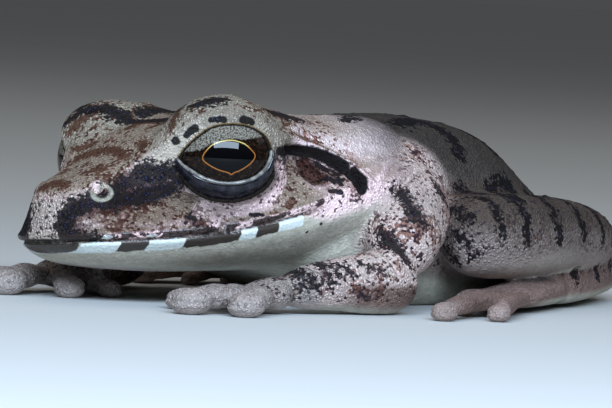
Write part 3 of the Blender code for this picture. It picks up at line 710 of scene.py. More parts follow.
# %% [markdown]
# ## Moving the skin along its normals
# Each point is moved out along its normal by the sum of the reliefs, first for the face and the creases,
# then for the warts. Near the opening of the eye the skin stays clear of relief, so that the thin margin
# keeps its line.

# %% Face and creases, then warts


def write_points(mesh, points):
    """Writes the points and returns the normals of the skin as it now is."""
    mesh.vertices.foreach_set("co", ((points + SLIDE) * MM).ravel())
    mesh.update()
    return column(mesh.vertices, "normal", 3)


normals = write_points(skin.data, points)
clear = ramp(margin_distance(eye_places(points)), 0.2, 1.1)
points = points + normals * (clear * (face_relief(points) + crease_relief(points)))[:, None]
rough_back = ramp(normals[:, 2], -0.1, 0.5) * (1 - is_digit)
warts = bumped(points, 1.9, 0.16, 0.42, 3.0) * rough_back
warts = warts + bumped(points, 0.9, 0.06, 0.24, 8.0) * (0.4 + 0.6 * rough_back)
points = points + normals * (clear * warts * (1 - 0.7 * is_digit))[:, None]
print("face and creases sculpted; the highest wart has", round(float(warts.max()), 2), "mm")

# %% [markdown]
# ## Ripples of the limbs, and the floor
# Fine ridges run round the limbs near their joints, and a groove runs round the rim of each disc. Last,
# everything that would reach below the floor is pressed flat on it.

# %% Ripples, grooves and flat soles


def limb_relief(points):
    """Ripples across each limb: sin of the length along it, strongest near its ends."""
    body = right_half(points)
    relief = np.zeros(len(points))
    for name in ("upper arm", "forearm", "shank", "tarsus"):
        path, radii = LIMBS[name]
        off, along, _ = near_line(body, path)
        reach = np.mean(radii)
        length = np.linalg.norm(np.diff(np.array(path), axis=0), axis=1).sum()
        swing = 0.9 * np.sin(body[:, 2] * 1.7) + 0.6 * np.sin(body[:, 1] * 2.3 + 1)
        ripple = np.sin(along * length * 5.2 + swing) * ramp(-off, -1.5 * reach, -1.1 * reach)
        relief += 0.035 * ripple * (0.35 + 0.65 * np.abs(2 * along - 1))
    return relief


def disc_relief(points):
    """A groove of depth 0.14 round the rim of each disc, at the height of its middle."""
    relief = np.zeros(len(points))
    for x, y, z, disc in disc_places:
        away = points - (x, y, z)
        flat = np.hypot(away[:, 0], away[:, 1])
        rim = ramp(flat, 0.72 * disc, 0.9 * disc) * ramp(-flat, -1.5 * disc, -1.25 * disc)
        relief -= 0.14 * rim * hill(away[:, 2], 0.0, 0.16)
    return relief


normals = write_points(skin.data, points)
points = points + normals * (clear * (limb_relief(points) + disc_relief(points)))[:, None]
points[:, 2] = np.maximum(points[:, 2], 0)
write_points(skin.data, points)
print("flat on the floor:", int((points[:, 2] == 0).sum()), "points")

# %% [markdown]
# ## Thinning the net where little happens
# The finest net is needed only in the face. A collapse of short edges thins the back, belly and limbs,
# led by a vertex group that spares the head, until the whole skin is a manageable mesh. The collapse can
# leave a few faces without any area, and those are dissolved, so that the skin stays one closed surface.

# %% Sparing the face
MOST_TRIANGLES = 188000
head = right_half(to_head(points))
spared = ramp(-head[:, 0], -3, 3) * ramp(head[:, 2], -3.5, -1.5)
near_eye = margin_distance(eye_places(points)) < 1.2
weight = np.where(near_eye & (spared > 0.5), 0.1, 1 - 0.75 * spared)
group = skin.vertex_groups.new(name="thin")
levels = np.round(weight * 10).astype(int)
for level in range(11):
    group.add(np.nonzero(levels == level)[0].tolist(), max(level / 10, 0.02), "REPLACE")
triangles_before = int((column(skin.data.polygons, "loop_total") - 2).sum())
thin = skin.modifiers.new("thin", "DECIMATE")
thin.ratio = min(1.0, MOST_TRIANGLES / triangles_before)
thin.vertex_group = "thin"
thin.vertex_group_factor = 1.0
thin.use_collapse_triangulate = True
graph = bpy.context.evaluated_depsgraph_get()
made = bpy.data.meshes.new_from_object(skin.evaluated_get(graph))
skin.modifiers.clear()
skin.data = made
skin.vertex_groups.clear()
print("skin thinned from", triangles_before, "to", len(skin.data.polygons), "triangles")

# %% [markdown]
# ## Cleaning up after the thinning
# Edges of no length are dissolved and the faces left with more than three corners are cut to triangles.
# Afterwards every edge has to have two faces, otherwise the skin would not be closed.

# %% Dissolving faces of no area
NO_LENGTH = 1e-7
closed = bmesh.new()
closed.from_mesh(skin.data)
bmesh.ops.dissolve_degenerate(closed, dist=NO_LENGTH, edges=closed.edges)
bmesh.ops.triangulate(closed, faces=[face for face in closed.faces if len(face.verts) > 3])
print("edges without two faces:", sum(len(edge.link_faces) != 2 for edge in closed.edges))
closed.to_mesh(skin.data)
closed.free()
skin.data.shade_smooth()
points, normals = read_points(skin.data), column(skin.data.vertices, "normal", 3)
print("skin:", len(skin.data.polygons), "triangles")

# %% [markdown]
# ## Where the marks lie
# The pattern is drawn as distances. A mark is a chain of balls along a line, and each skin point stores
# how far it is from the nearest one. The material later turns that distance into a ragged edge with
# noise, so the marks stay crisp however coarse the net is. All numbers are the places of a mark's middle
# line in millimetres, with its half width, read off the frog.

# %% Distance to a chain of balls


def chain_distance(points, chain):
    """Distance to a line of balls (x, y, z, radius), the radius read smoothly between them."""
    chain = np.asarray(chain, float)
    if len(chain) == 1:
        return np.linalg.norm(points - chain[0, :3], axis=1) - chain[0, 3]
    best = np.full(len(points), 1e9)
    for a, b in zip(chain[:-1], chain[1:]):
        way = b[:3] - a[:3]
        t = np.clip((points - a[:3]) @ way / (way @ way + NEARLY_NOTHING), 0, 1)
        far = np.linalg.norm(points - a[:3] - t[:, None] * way, axis=1) - a[3] - t * (b[3] - a[3])
        best = np.minimum(best, far)
    return best


def nearest_mark(points, chains):
    """Distance to the nearest of several chains, each one first laid on the skin."""
    return np.min([chain_distance(points, laid(chain, points)) for chain in chains], 0)


# %% [markdown]
# ## The face's pattern
# A dark streak runs from the nostril to the eye and on as broken pieces behind it. Small spots sit on the
# lid and under the mouth, and reddish brown patches lie on the crown. A black band under the fold is
# painted shadow of its overhang, and the mottling below it is darkened with painted shade. The far lid
# has bars of its own, since the frog is not quite the same on both sides.

# %% The marks of the face
FACE_DARK = (
    ((-20.0, 4.2, 3.5, 0.5), (-19.2, 4.3, 3.8, 0.8), (-18.4, 4.8, 4.2, 1.0), (-17.6, 5.6, 4.7, 1.0),
     (-16.8, 6.4, 4.9, 0.9), (-15.9, 7.4, 4.6, 0.7)),
    ((-20.6, 4.9, 2.9, 0.9), (-19.4, 5.4, 3.1, 1.0), (-18.2, 6.3, 3.5, 1.0), (-16.9, 7.3, 4.0, 0.9),
     (-15.7, 8.0, 4.9, 0.6)),
    ((-20.7, 4.6, 2.6, 0.8), (-21.6, 4.1, 2.6, 0.85), (-22.4, 3.4, 2.5, 0.9), (-23.2, 2.8, 2.1, 0.95),
     (-23.8, 2.5, 1.4, 0.95), (-24.0, 2.7, 0.7, 0.9), (-23.6, 3.5, 0.2, 0.6), (-22.4, 4.8, -0.1, 0.45)),
    ((-13.7, 7.3, 10.1, 0.55), (-12.9, 8.0, 10.2, 0.85), (-12.0, 8.5, 10.1, 0.7)),
    ((-5.9, 7.7, 9.1, 0.5), (-4.0, 7.2, 8.8, 0.8), (-1.8, 6.3, 8.3, 0.75)),
    ((-7.9, 11.2, 5.5, 0.35), (-7.2, 11.0, 5.2, 0.3)),
    ((-2.9, 10.7, 3.6, 0.5), (-2.2, 11.2, 3.2, 0.65)),
    ((-3.4, 10.0, 5.1, 0.3), (-2.5, 10.3, 4.7, 0.5), (-1.8, 10.8, 4.1, 0.5)),
    ((-15.9, 8.6, 1.0, 0.35), (-15.0, 9.3, 0.5, 0.3)),
    ((-13.4, 5.2, 10.3, 0.5), (-12.6, 4.0, 9.6, 0.7), (-11.9, 2.4, 9.0, 0.7), (-11.2, 0.0, 8.7, 0.7)),
    ((-8.6, 0.0, 9.5, 0.9), (-7.4, 2.6, 9.8, 0.8), (-6.6, 4.4, 9.8, 0.5)),
    ((-2.6, 0.0, 9.4, 0.8), (-1.4, 2.4, 9.2, 0.8)),
)
FACE_SPOTS = (
    ((-15.7, 8.5, 7.55, 0.3), (-15.15, 8.95, 8.15, 0.36)),
    ((-16.4, 7.8, 6.8, 0.38),),
    ((-14.1, 9.8, 8.8, 0.24), (-13.2, 10.4, 8.85, 0.29)),
    ((-11.6, 11.1, 8.65, 0.36), (-10.9, 11.4, 8.5, 0.3)),
    ((-3.3, 10.0, 4.95, 0.22), (-2.4, 10.1, 4.4, 0.24)),
    ((-3.3, 11.6, 2.4, 0.22), (-2.5, 11.9, 2.3, 0.28)),
    ((-16.4, 8.7, 0.7, 0.18),),
    ((-14.9, 9.5, 0.2, 0.16),),
    ((-11.0, 10.5, 1.0, 0.18), (-10.1, 10.8, 0.8, 0.2)),
    ((-9.2, 11.2, -1.6, 0.14),),
    ((-5.6, 11.2, -0.9, 0.16),),
    ((-12.9, 10.2, -1.9, 0.13),),
    ((-7.6, 11.3, -1.5, 0.12),),
    ((-4.3, 11.4, -0.1, 0.17),),
    ((-10.7, 10.4, -2.4, 0.11),),
)
FACE_RED = (
    ((-22.3, 0.1, 4.4, 0.6), (-22.8, 1.4, 4.0, 0.5)),
    ((-17.6, 3.0, 6.1, 0.5), (-17.1, 1.2, 6.6, 0.7), (-17.0, 0.0, 6.6, 0.6)),
    ((-15.6, 6.6, 8.0, 0.4), (-14.6, 6.0, 9.2, 0.6), (-13.6, 5.4, 9.9, 0.6)),
    ((-13.5, 1.4, 8.3, 0.5), (-12.4, 1.6, 8.7, 0.5)),
    ((-16.6, 4.4, 6.8, 0.5), (-15.8, 3.0, 7.2, 0.5)),
    ((-19.6, 2.2, 5.4, 0.4), (-20.6, 1.4, 5.0, 0.4)),
)
UNDER_MASK = ((-22.8, 3.8, 1.2, 1.7), (-20.6, 5.4, 1.7, 2.1), (-18.4, 7.0, 2.0, 2.0),
              (-16.6, 8.3, 2.0, 1.2), (-15.2, 9.1, 1.4, 0.7))
# Below the fold the mottling is darkened with painted shade of its overhang.
UNDER_FOLD_SHADE = [(x - 0.25, y, z - 1.0, 0.55 + 0.08 * k) for k, (x, y, z) in enumerate(FOLD[:-2])]
# The band under the fold is painted shadow of its overhang.
FOLD_SHADOW = [(x, y, z - 0.36, min(0.45 + 0.025 * k, 1.2 - 0.12 * k))
             for k, (x, y, z) in enumerate(FOLD[:-1])]
FAR_LID_DARK = (
    ((-14.9, 7.9, 8.9, 0.5), (-13.8, 6.6, 9.9, 0.7), (-13.0, 5.5, 10.1, 0.9), (-12.5, 4.2, 9.7, 0.9),
     (-11.8, 3.2, 9.2, 0.7)),
    ((-10.7, 3.1, 9.3, 0.7), (-8.5, 3.6, 9.6, 0.8), (-6.5, 4.0, 9.6, 0.6)),
)
print(len(FACE_DARK), "dark marks,", len(FACE_RED), "brown ones and", len(FACE_SPOTS), "spots on the face")

# %% [markdown]
# ## Back, arms and legs
# The back has loose blotches, and arms and legs have bars across. A bar across a leg follows the leg's
# own surface, so it is worked out from the path and the half axes that made the leg.

# %% The marks of the body and the bars of the legs
BODY_DARK = (
    ((1.8, 6.2, 15.3, 0.6), (4.6, 4.6, 15.4, 0.9), (7.6, 3.0, 15.5, 0.9)),
    ((10.2, 5.4, 15.2, 0.9), (13.4, 4.0, 15.6, 1.1), (15.3, 6.4, 14.6, 0.9), (14.7, 8.6, 12.6, 0.7)),
    ((16.4, 0.6, 15.8, 0.9), (19.4, 3.2, 15.2, 1.1), (22.6, 6.0, 12.8, 0.9)),
    ((24.4, 0.4, 13.8, 0.9), (28.6, 2.8, 11.2, 0.9)),
    ((18.4, 9.6, 10.6, 0.7), (21.4, 8.8, 10.4, 0.7)),
    ((1.2, 12.7, 10.1, 0.45), (0.9, 13.5, 9.5, 0.6), (0.5, 14.8, 8.5, 0.68), (0.7, 15.6, 7.6, 0.6)),
    ((-1.5, 13.1, 6.6, 0.4), (-1.6, 14.1, 6.0, 0.55), (-1.4, 15.0, 5.2, 0.55), (-1.4, 16.0, 4.5, 0.4)),
    ((-5.2, 15.3, 4.4, 0.2), (-3.9, 16.4, 3.3, 0.2)),
    ((-6.0, 14.7, 4.4, 0.32), (-5.5, 15.5, 4.0, 0.4), (-4.9, 16.1, 3.6, 0.4)),
    ((-7.7, 14.3, 4.0, 0.35), (-7.2, 15.0, 3.5, 0.3)),
    ((-8.1, 13.5, 4.3, 0.25), (-8.5, 14.6, 3.1, 0.25)),
    ((5.0, 13.5, 10.5, 0.4), (5.4, 14.2, 9.0, 0.4)),
    ((-0.2, 12.1, 10.3, 0.25),),
    ((9.3, 11.9, 8.3, 0.5), (8.4, 13.6, 8.3, 0.5), (8.2, 14.8, 7.8, 0.35)),
    ((7.9, 13.3, 6.6, 0.3), (7.9, 14.4, 6.2, 0.34), (8.0, 15.2, 5.8, 0.3)),
    ((8.3, 12.7, 4.9, 0.4), (8.3, 13.8, 4.1, 0.4)),
    ((8.7, 15.2, 4.6, 0.3), (8.7, 15.9, 5.3, 0.25)),
    ((-10.6, 12.8, 3.4, 0.3), (-10.2, 13.6, 2.4, 0.3)),
)


def crossbars(name, places, width, start, stop):
    """Bars across a limb: at each place along it, balls on its surface from angle start to stop."""
    path, radii = (np.array(a, float) for a in LIMBS[name])
    steps = np.concatenate([[0], np.cumsum(np.linalg.norm(np.diff(path, axis=0), axis=1))])
    bars = []
    for place in places:
        centre = smooth(place * steps[-1], steps, path)
        wide, high = smooth(place * steps[-1], steps, radii)
        way = smooth(min(place + 0.02, 1) * steps[-1], steps, path) - centre
        across = np.cross(way, (0, 0, 1))
        across *= np.sign(across[1]) / np.linalg.norm(across)
        turn = np.radians(np.linspace(start, stop, 5))[:, None]
        ring = centre + across * wide * np.cos(turn) + np.array([0, 0, high]) * np.sin(turn)
        bars.append(np.column_stack([ring, np.full(5, width)]))
    return bars


LEG_BARS = [
    *crossbars("shank", (0.09,), 0.3, 120, 5),
    *crossbars("shank", (0.17, 0.29, 0.42, 0.56, 0.69, 0.82, 0.93), 0.5, 120, 0),
    *crossbars("thigh", (0.2, 0.36, 0.52, 0.68, 0.84), 0.7, 130, 20),
    *crossbars("tarsus", (0.15, 0.4, 0.62, 0.86), 0.5, 110, 25),
    *crossbars("forearm", (0.74, 0.93), 0.42, 110, 20),
]
print(len(BODY_DARK), "marks on the body and", len(LEG_BARS), "bars across the limbs")

# %% [markdown]
# ## The lips' bars
# The edge of the lower jaw carries a row of dark and white bars, the best mark to know this frog by. They
# are boxes in two coordinates: how far back along the head, and how far below the line of the mouth.

# %% Bars along the lower lip, scallops along the upper one
WHITE_BARS = ((-23.2, -21.0), (-19.1, -16.4), (-11.9, -10.4), (-8.5, -6.2))
DARK_BARS = ((-25.0, -23.2), (-21.0, -19.1), (-16.4, -11.9), (-10.4, -8.5))
DARK_SCALLOPS = ((-24.2, -22.9), (-21.2, -20.5), (-18.4, -12.3), (-11.0, -8.0), (-4.9, -4.2))
WHITE_SCALLOPS = ((-22.3, -21.7), (-19.4, -18.6))


def bar_distance(x, height, spans, middle, half):
    """Distance to the nearest box with the given spans in x and half height about the middle."""
    across = np.min([np.abs(x - (a + b) / 2) - (b - a) / 2 for a, b in spans], 0)
    return np.maximum(across, np.abs(height - middle) - half)


head, body = right_half(to_head(points)), right_half(points)
mouth_height = above_mouth_line(head)
lip_dark, lip_pale = (
    np.min([bar_distance(head[:, 0], mouth_height, *row) for row in rows], 0)
    for rows in (((DARK_BARS, -0.48, 0.42), (DARK_SCALLOPS, 0.34, 0.28)),
                 ((WHITE_BARS, -0.5, 0.42), (WHITE_SCALLOPS, 0.3, 0.12)))
)
print("skin inside the lips' dark bars:", int((lip_dark < 0).sum()), "points")

# %% [markdown]
# ## Shares of head, arms and legs
# Each skin point has to know what it belongs to, because cheek, arm and foot have colours and marks of
# their own. A share is 1 near the limb's path and falls to 0 a little outside it, so that the colours
# blend over a stretch of skin.

# %% How far a point belongs to a limb or the head


def closeness(places, path, reach):
    """1 up to 0.6 of the reach from a path, falling to 0 at the reach."""
    return ramp(-near_line(places, path)[0], -reach, -0.6 * reach)


def limb_share(*paths):
    """The largest closeness to any of some limbs, each given with its reach."""
    return np.max([closeness(body, LIMBS[name][0], reach) for name, reach in paths], 0)


low_front = ramp(-body[:, 0], 11, 13) * ramp(-body[:, 2], -3.2, -2.7)
low_side = ramp(-body[:, 2], -2.7, -2.3) * ramp(body[:, 1], 11.5, 12.5)
arm = limb_share(("upper arm", 4.6), ("forearm", 3.6))
hand = np.maximum(limb_share(("palm", 3.2)), low_front)
leg = limb_share(("thigh", 5.2), ("shank", 4.6))
foot = np.maximum(limb_share(("tarsus", 3.0)), low_side)
in_head = ramp(-head[:, 0], -2.5, 0.5) * (1 - np.max([arm, hand, foot], 0))
print("points on the head:", int((in_head > 0.5).sum()), "of", len(points))

# %% [markdown]
# ## Reading the marks on the skin
# Marks of the face are read only on the head and those of the body only off it: where a mark doesn't
# belong its distance grows by a few millimetres. The painted shadow under the fold is a smooth band,
# measured with the width of the head squeezed, so that it reaches the skin wherever the fold stands out.

# %% Distances to all marks
APART = 3
SQUEEZE = np.array([1, 0.3, 1])
off_face = (1 - in_head) * APART
both_sided = to_head(points)
face_dark = np.minimum(nearest_mark(head, FACE_DARK), nearest_mark(both_sided, FAR_LID_DARK)) + off_face
face_spots = nearest_mark(head, FACE_SPOTS) + off_face
face_red = nearest_mark(head, FACE_RED) + off_face
# Mottling under the mask; under the fold, mottling with painted shade.
mottle_and_shade = nearest_mark(head, (UNDER_MASK, UNDER_FOLD_SHADE)) + off_face
body_dark = nearest_mark(body, (*BODY_DARK, *LEG_BARS)) + in_head * APART
# The painted shadow under the fold, as a band along it.
fold_shadow_line = refined(np.array(FOLD_SHADOW))
fold_shadow_line[:, :3] *= SQUEEZE
fold_shadow = chain_distance(head * SQUEEZE, fold_shadow_line)
print("deepest inside a dark mark:", round(float(min(face_dark.min(), body_dark.min())), 2), "mm")

# %% [markdown]
# ## The ground colour
# Under the marks the skin runs from dark brown on the back through grey beige on the crown and pinkish
# cheeks to a pale throat and belly; the back and the tops of the legs carry painted shade over their own
# brown. These soft changes are worked out per point from place and slope, one coat over the other, as a
# painter lays glazes.

# %% Soft regions mixed into one colour attribute
CROWN, LID, CHEEK, TEMPLE = (0.30, 0.228, 0.175), (0.31, 0.265, 0.21), (1.0, 0.73, 0.72), (0.90, 0.73, 0.73)
# The back's own dark brown, darkened further with painted shade.
THROAT, BACK_AND_SHADE, FLANK = (0.39, 0.365, 0.30), (0.046, 0.037, 0.032), (0.145, 0.120, 0.105)
# The legs' dark top colour, darkened further with painted shade.
ARM, THIGH_AND_SHADE, LEG_SIDE = (0.58, 0.45, 0.41), (0.094, 0.069, 0.056), (0.27, 0.215, 0.195)
FOOT, DISC, SNOUT = (0.20, 0.132, 0.113), (0.35, 0.295, 0.27), (0.45, 0.39, 0.32)


def glazed(first, *coats):
    """A first colour, then for each coat (colour, share): ground + (colour - ground) share."""
    ground = np.tile(np.array(first), (len(points), 1))
    for colour, share in coats:
        ground = ground + (np.array(colour) - ground) * share[:, None]
    return ground


up = normals[:, 2]
from_disc = np.min([np.linalg.norm(points - place[:3], axis=1) / place[3] for place in disc_places], 0)
body_ground = glazed(
    FLANK,
    # The tops of the trunk: their own brown with painted shade.
    (BACK_AND_SHADE, ramp(up, 0.0, 0.65)),
    (THROAT, ramp(-up, 0.15, 0.6)),
    # The legs' tops: their own colour with painted shade.
    (THIGH_AND_SHADE, leg),
    (LEG_SIDE, leg * ramp(-up, -0.45, 0.25)),
    (ARM, arm),
    (FOOT, foot * ramp(body[:, 0], -9, -6)),
    (THROAT, foot * ramp(body[:, 0], 12, 18) * ramp(-up, 0.35, 0.7)),
    (THROAT, arm * ramp(-up, 0.6, 0.95)),
    (DISC, np.maximum(hand, 0.35 * ramp(-from_disc, -1.5, -1.1))),
)
print("mean colour of the body", np.round(body_ground.mean(0), 3))

# %% [markdown]
# ## The face's colours
# The cheek is pinkish beige and ends at the line of the mouth. Behind the corner that limit softens, and
# at the nape the colours of the face run over into those of the body.

# %% The colours of the face, and both together
eye_at = eye_places(points)
corner = ramp(head[:, 0], -7.0, -3.0)
above_mouth = ramp(mouth_height + 1.3 * corner, -0.1 - 0.6 * corner, 0.1 + 0.6 * corner)
crown_share = ramp(up, 0.25, 0.65)
behind_crown = ramp(up, 0.5, 0.85) * ramp(-head[:, 0], -9, 0) * ramp(head[:, 0], -7, -4)
over_eye = ramp(-np.linalg.norm(eye_at, axis=1), -7.2, -5.4) * ramp(head[:, 2], 4.2, 6.0)
beside_mask = ramp(-head[:, 0], 13, 15) * ramp(head[:, 2], 4.0, 5.4)
snout_tip = ramp(-head[:, 0], 20.5, 22.5)
face_ground = glazed(
    CHEEK,
    (TEMPLE, ramp(head[:, 0], -7, -3) * ramp(head[:, 2], 3.5, 6)),
    (CROWN, crown_share * ramp(-head[:, 0], 1, 6)),
    (CROWN, 0.85 * behind_crown),
    (LID, over_eye),
    (SNOUT, 0.8 * np.maximum(snout_tip, beside_mask) * (1 - crown_share)),
    (THROAT, 1 - above_mouth),
)
nape = ramp(-head[:, 0], -8.5, 0.0) * (1 - np.max([arm, hand, leg, foot], 0))
ground = body_ground + (face_ground - body_ground) * nape[:, None]
print("mean colour of the whole skin", np.round(ground.mean(0), 3))

# %% [markdown]
# ## Storing the fields on the mesh
# Each field becomes a point attribute that the material reads by name: the ground colour, the distances
# to the marks, how granular and how mottled the skin is, and a shade for pits and grooves that light
# hardly reaches. An attribute needs no image and no unwrapping, and it stays with its point.

# %% Attributes by name


def store(mesh, name, values):
    """A number per point as FLOAT, or a colour per point as FLOAT_COLOR."""
    if values.ndim == 1:
        mesh.attributes.new(name, "FLOAT", "POINT").data.foreach_set("value", values)
    else:
        rgba = np.column_stack([values, np.ones(len(values))])
        mesh.attributes.new(name, "FLOAT_COLOR", "POINT").data.foreach_set("color", rgba.ravel())


# %% [markdown]
# ## Shade and grain
# Nostrils, the mouth's groove and the wells of the eyes get painted shade, dark whatever lies beside them.
# Granules show most on what is turned up, and the chin and the throat are nearly smooth.

# %% Pits, grooves, sockets and where granules stand
AT_RIM, SUNK_RADIUS = 2, 4.1
rim, eye_angle, _ = opening_distance(eye_at)
off_rim = margin_distance(eye_at)
from_nostril = around_spot(head, NOSTRIL, ROUND_NOSTRIL)
pit = 1.4 * hill(from_nostril, 0, 0.34)
groove = in_head * hill(mouth_height, 0, 0.11) * ramp(-head[:, 0], 3.0, 6.0)
ear_brown = hill(around_spot(head, EAR, (0.80, 0.55, 0.55)), 0, 1.3)
sunk = (rim < -0.02) & (off_rim < AT_RIM) & (np.linalg.norm(eye_at, axis=1) < SUNK_RADIUS)
beneath = ramp(eye_angle, 178, 205) * ramp(-eye_angle, -358, -335)
limb_top = np.maximum(arm, 0.8 * leg) * (1 - in_head)
turned_up = up + 0.4 * np.max([arm, hand, 0.7 * leg], 0)
chin = nape * (1 - above_mouth)
smoother = (1 - 0.3 * (from_disc < 1.4)) * (1 - 0.2 * ramp(head[:, 0], -7, -1))
cheek = in_head * above_mouth * (1 - 0.8 * crown_share) * ramp(-head[:, 2], -7.5, -5.5)
print("points sunk into the eyes' openings:", int(sunk.sum()))

# %% Writing the fields
fields = {
    "ground": ground.clip(0, 1),
    "dark": np.minimum(face_dark, body_dark),
    "spots": face_spots,
    "red": face_red,
    # Mottling under the mask, and painted shade with mottling under the fold.
    "mottle_and_shade": ramp(-mottle_and_shade, -1.2, 0.8),
    # The painted shadow under the fold, as a distance to its band.
    "fold": np.where(in_head > 0.02, fold_shadow, FAR),
    "lip_dark": np.where(in_head > 0.5, lip_dark, FAR),
    "lip_pale": np.where(in_head > 0.5, lip_pale, FAR),
    "rim": np.where(off_rim < AT_RIM, rim, FAR),
    "upper": 1 - beneath,
    "socket": beneath * ramp(-off_rim, -1.5, -0.4),
    "shade": np.clip(np.maximum(pit, groove) + sunk, 0, 1),
    "ear": ear_brown,
    "nostril": hill(from_nostril, 0.68, 0.24),
    "crown": np.maximum(crown_share * in_head, 0.95 * ramp(turned_up, -0.4, 0.2) * limb_top),
    "grain": 0.15 + 0.85 * ramp(turned_up, -0.5, 0.1) * (1 - chin) * smoother,
    "specks": np.maximum(cheek, np.maximum(limb_top, 0.45 * hand) * ramp(turned_up, -0.5, 0.0)),
}
for name, values in fields.items():
    store(skin.data, name, values)
print("stored for the skin:", ", ".join(fields))

# %% [markdown]
# ## Writing materials as sums
# A material is arithmetic on pictures. One small class stands for the output of a node, and adding or
# multiplying two of them places the Math node that does it, so a finish reads like a formula. Sockets
# go by their names, or by their numbers where one node has several of the same name.

# %% Shader outputs that can be added and multiplied


class Wire:
    """The output of a shader node; arithmetic on it adds Math nodes."""

    def __init__(self, tree, socket):
        self.tree, self.socket = tree, socket

    def node(self, kind, settings=None, inputs=None, out=0):
        return add_node(self.tree, kind, settings, inputs, out)

    def math(self, operation, *values):
        return self.node("Math", {"operation": operation}, dict(enumerate(values)))

    def __add__(self, other):
        return self.math("ADD", self, other)

    __radd__ = __add__

    def __sub__(self, other):
        return self.math("SUBTRACT", self, other)

    def __rsub__(self, other):
        return self.math("SUBTRACT", other, self)

    def __mul__(self, other):
        return self.math("MULTIPLY", self, other)

    __rmul__ = __mul__

    def most(self, other):
        return self.math("MAXIMUM", self, other)

    def ramp(self, low, high):
        """0 to 1 between low and high, with soft ends; low may be the larger one."""
        span = {"Value": self, "From Min": low, "From Max": high}
        return self.node("MapRange", {"interpolation_type": "SMOOTHSTEP"}, span)


def feed(tree, node, inputs):
    """Gives each named socket of a node its number, its colour or its wire."""
    for name, value in inputs.items():
        if isinstance(value, Wire):
            tree.links.new(value.socket, node.inputs[name])
        else:
            node.inputs[name].default_value = value


def add_node(tree, kind, settings=None, inputs=None, out=0):
    """Places a node, sets it up, feeds it, and returns one of its outputs."""
    node = tree.nodes.new("ShaderNode" + kind)
    for name, value in (settings or {}).items():
        setattr(node, name, value)
    feed(tree, node, inputs or {})
    return Wire(tree, node.outputs[out])


# %% [markdown]
# ## The nodes behind the words
# A finish needs only a few kinds of node: a mix of two colours, a stored value, a cloudy noise and a
# pattern of cells. Each gets one short word.

# %% Short words for the nodes that every finish needs
COLOUR_OUT, NUMBER_OUT, OBJECT_PLACE = 0, 2, 3
COLOUR_A, COLOUR_B, MIXED = 6, 7, 2


def colour_mix(share, a, b, blend="MIX"):
    """Colour a where the share is 0, colour b where it is 1."""
    a, b = ((*c, 1) if isinstance(c, tuple) else c for c in (a, b))
    wanted = {"data_type": "RGBA", "blend_type": blend}
    return share.node("Mix", wanted, {0: share, COLOUR_A: a, COLOUR_B: b}, MIXED)


def material(name):
    """A new material, its node tree, and the shader whose sockets a finish feeds."""
    made = bpy.data.materials.new(name)
    made.use_nodes = True
    return made, made.node_tree, made.node_tree.nodes["Principled BSDF"]


def attribute(tree, name, out=NUMBER_OUT):
    """What the points of the mesh carry under this name."""
    return add_node(tree, "Attribute", {"attribute_name": name}, out=out)


def noise(tree, scale, detail=2.0, roughness=0.55, place=None):
    """Cloudy noise from 0 to 1, with so many waves per metre of the object."""
    where = place or add_node(tree, "TexCoord", out=OBJECT_PLACE)
    wanted = {"Vector": where, "Scale": scale, "Detail": detail, "Roughness": roughness}
    return add_node(tree, "TexNoise", {}, wanted)


def cells(tree, scale, out=0):
    """Round cells: the distance to the nearest middle, or with out=1 a random colour for each cell."""
    where = add_node(tree, "TexCoord", out=OBJECT_PLACE)
    return add_node(tree, "TexVoronoi", {}, {"Vector": where, "Scale": scale}, out)


def mottled_finish(name, scale, ends, colours, rough, others):
    """Two colours mixed by one noise, which also moves the roughness."""
    made, tree, shader = material(name)
    mottle = noise(tree, scale, 3)
    feed(tree, shader, {"Base Color": colour_mix(mottle.ramp(*ends), *colours),
                        "Roughness": rough[0] + rough[1] * mottle, **others})
    return made


# %% [markdown]
# ## The skin's finish
# Frog skin is a pavement of tiny granules, moist but not shiny. Three noises from broad to fine and one
# pattern of cells serve every step below, so that colour, marks and relief agree with one another. Scales
# are per metre, so 3900 makes a granule about a quarter of a millimetre wide.

# %% The texture that colour, marks and relief share
GRANULES = 3900


def skin_texture(tree):
    """Three noises, a random number for each granule, and how far up its pebble a place lies."""
    broad, middling, fine = noise(tree, 330, 3), noise(tree, 1100, 3), noise(tree, 3600, 2)
    luck = add_node(tree, "SeparateColor", {}, {0: cells(tree, GRANULES, 1)})
    pebble = cells(tree, GRANULES).ramp(0.60, 0.12)
    return broad, middling, fine, luck, pebble


# %% [markdown]
# The ground colour gets lighter and darker from granule to granule, and the gaps between granules are
# painted darker as shade. Over it come red brown patches on the crown, small flecks, the dark dots of the
# cheek, mottling under the mask, mottling darkened with painted shade under the fold, a brown eardrum,
# and the painted shadow round the socket.

# %% Ground, patches, flecks and dots


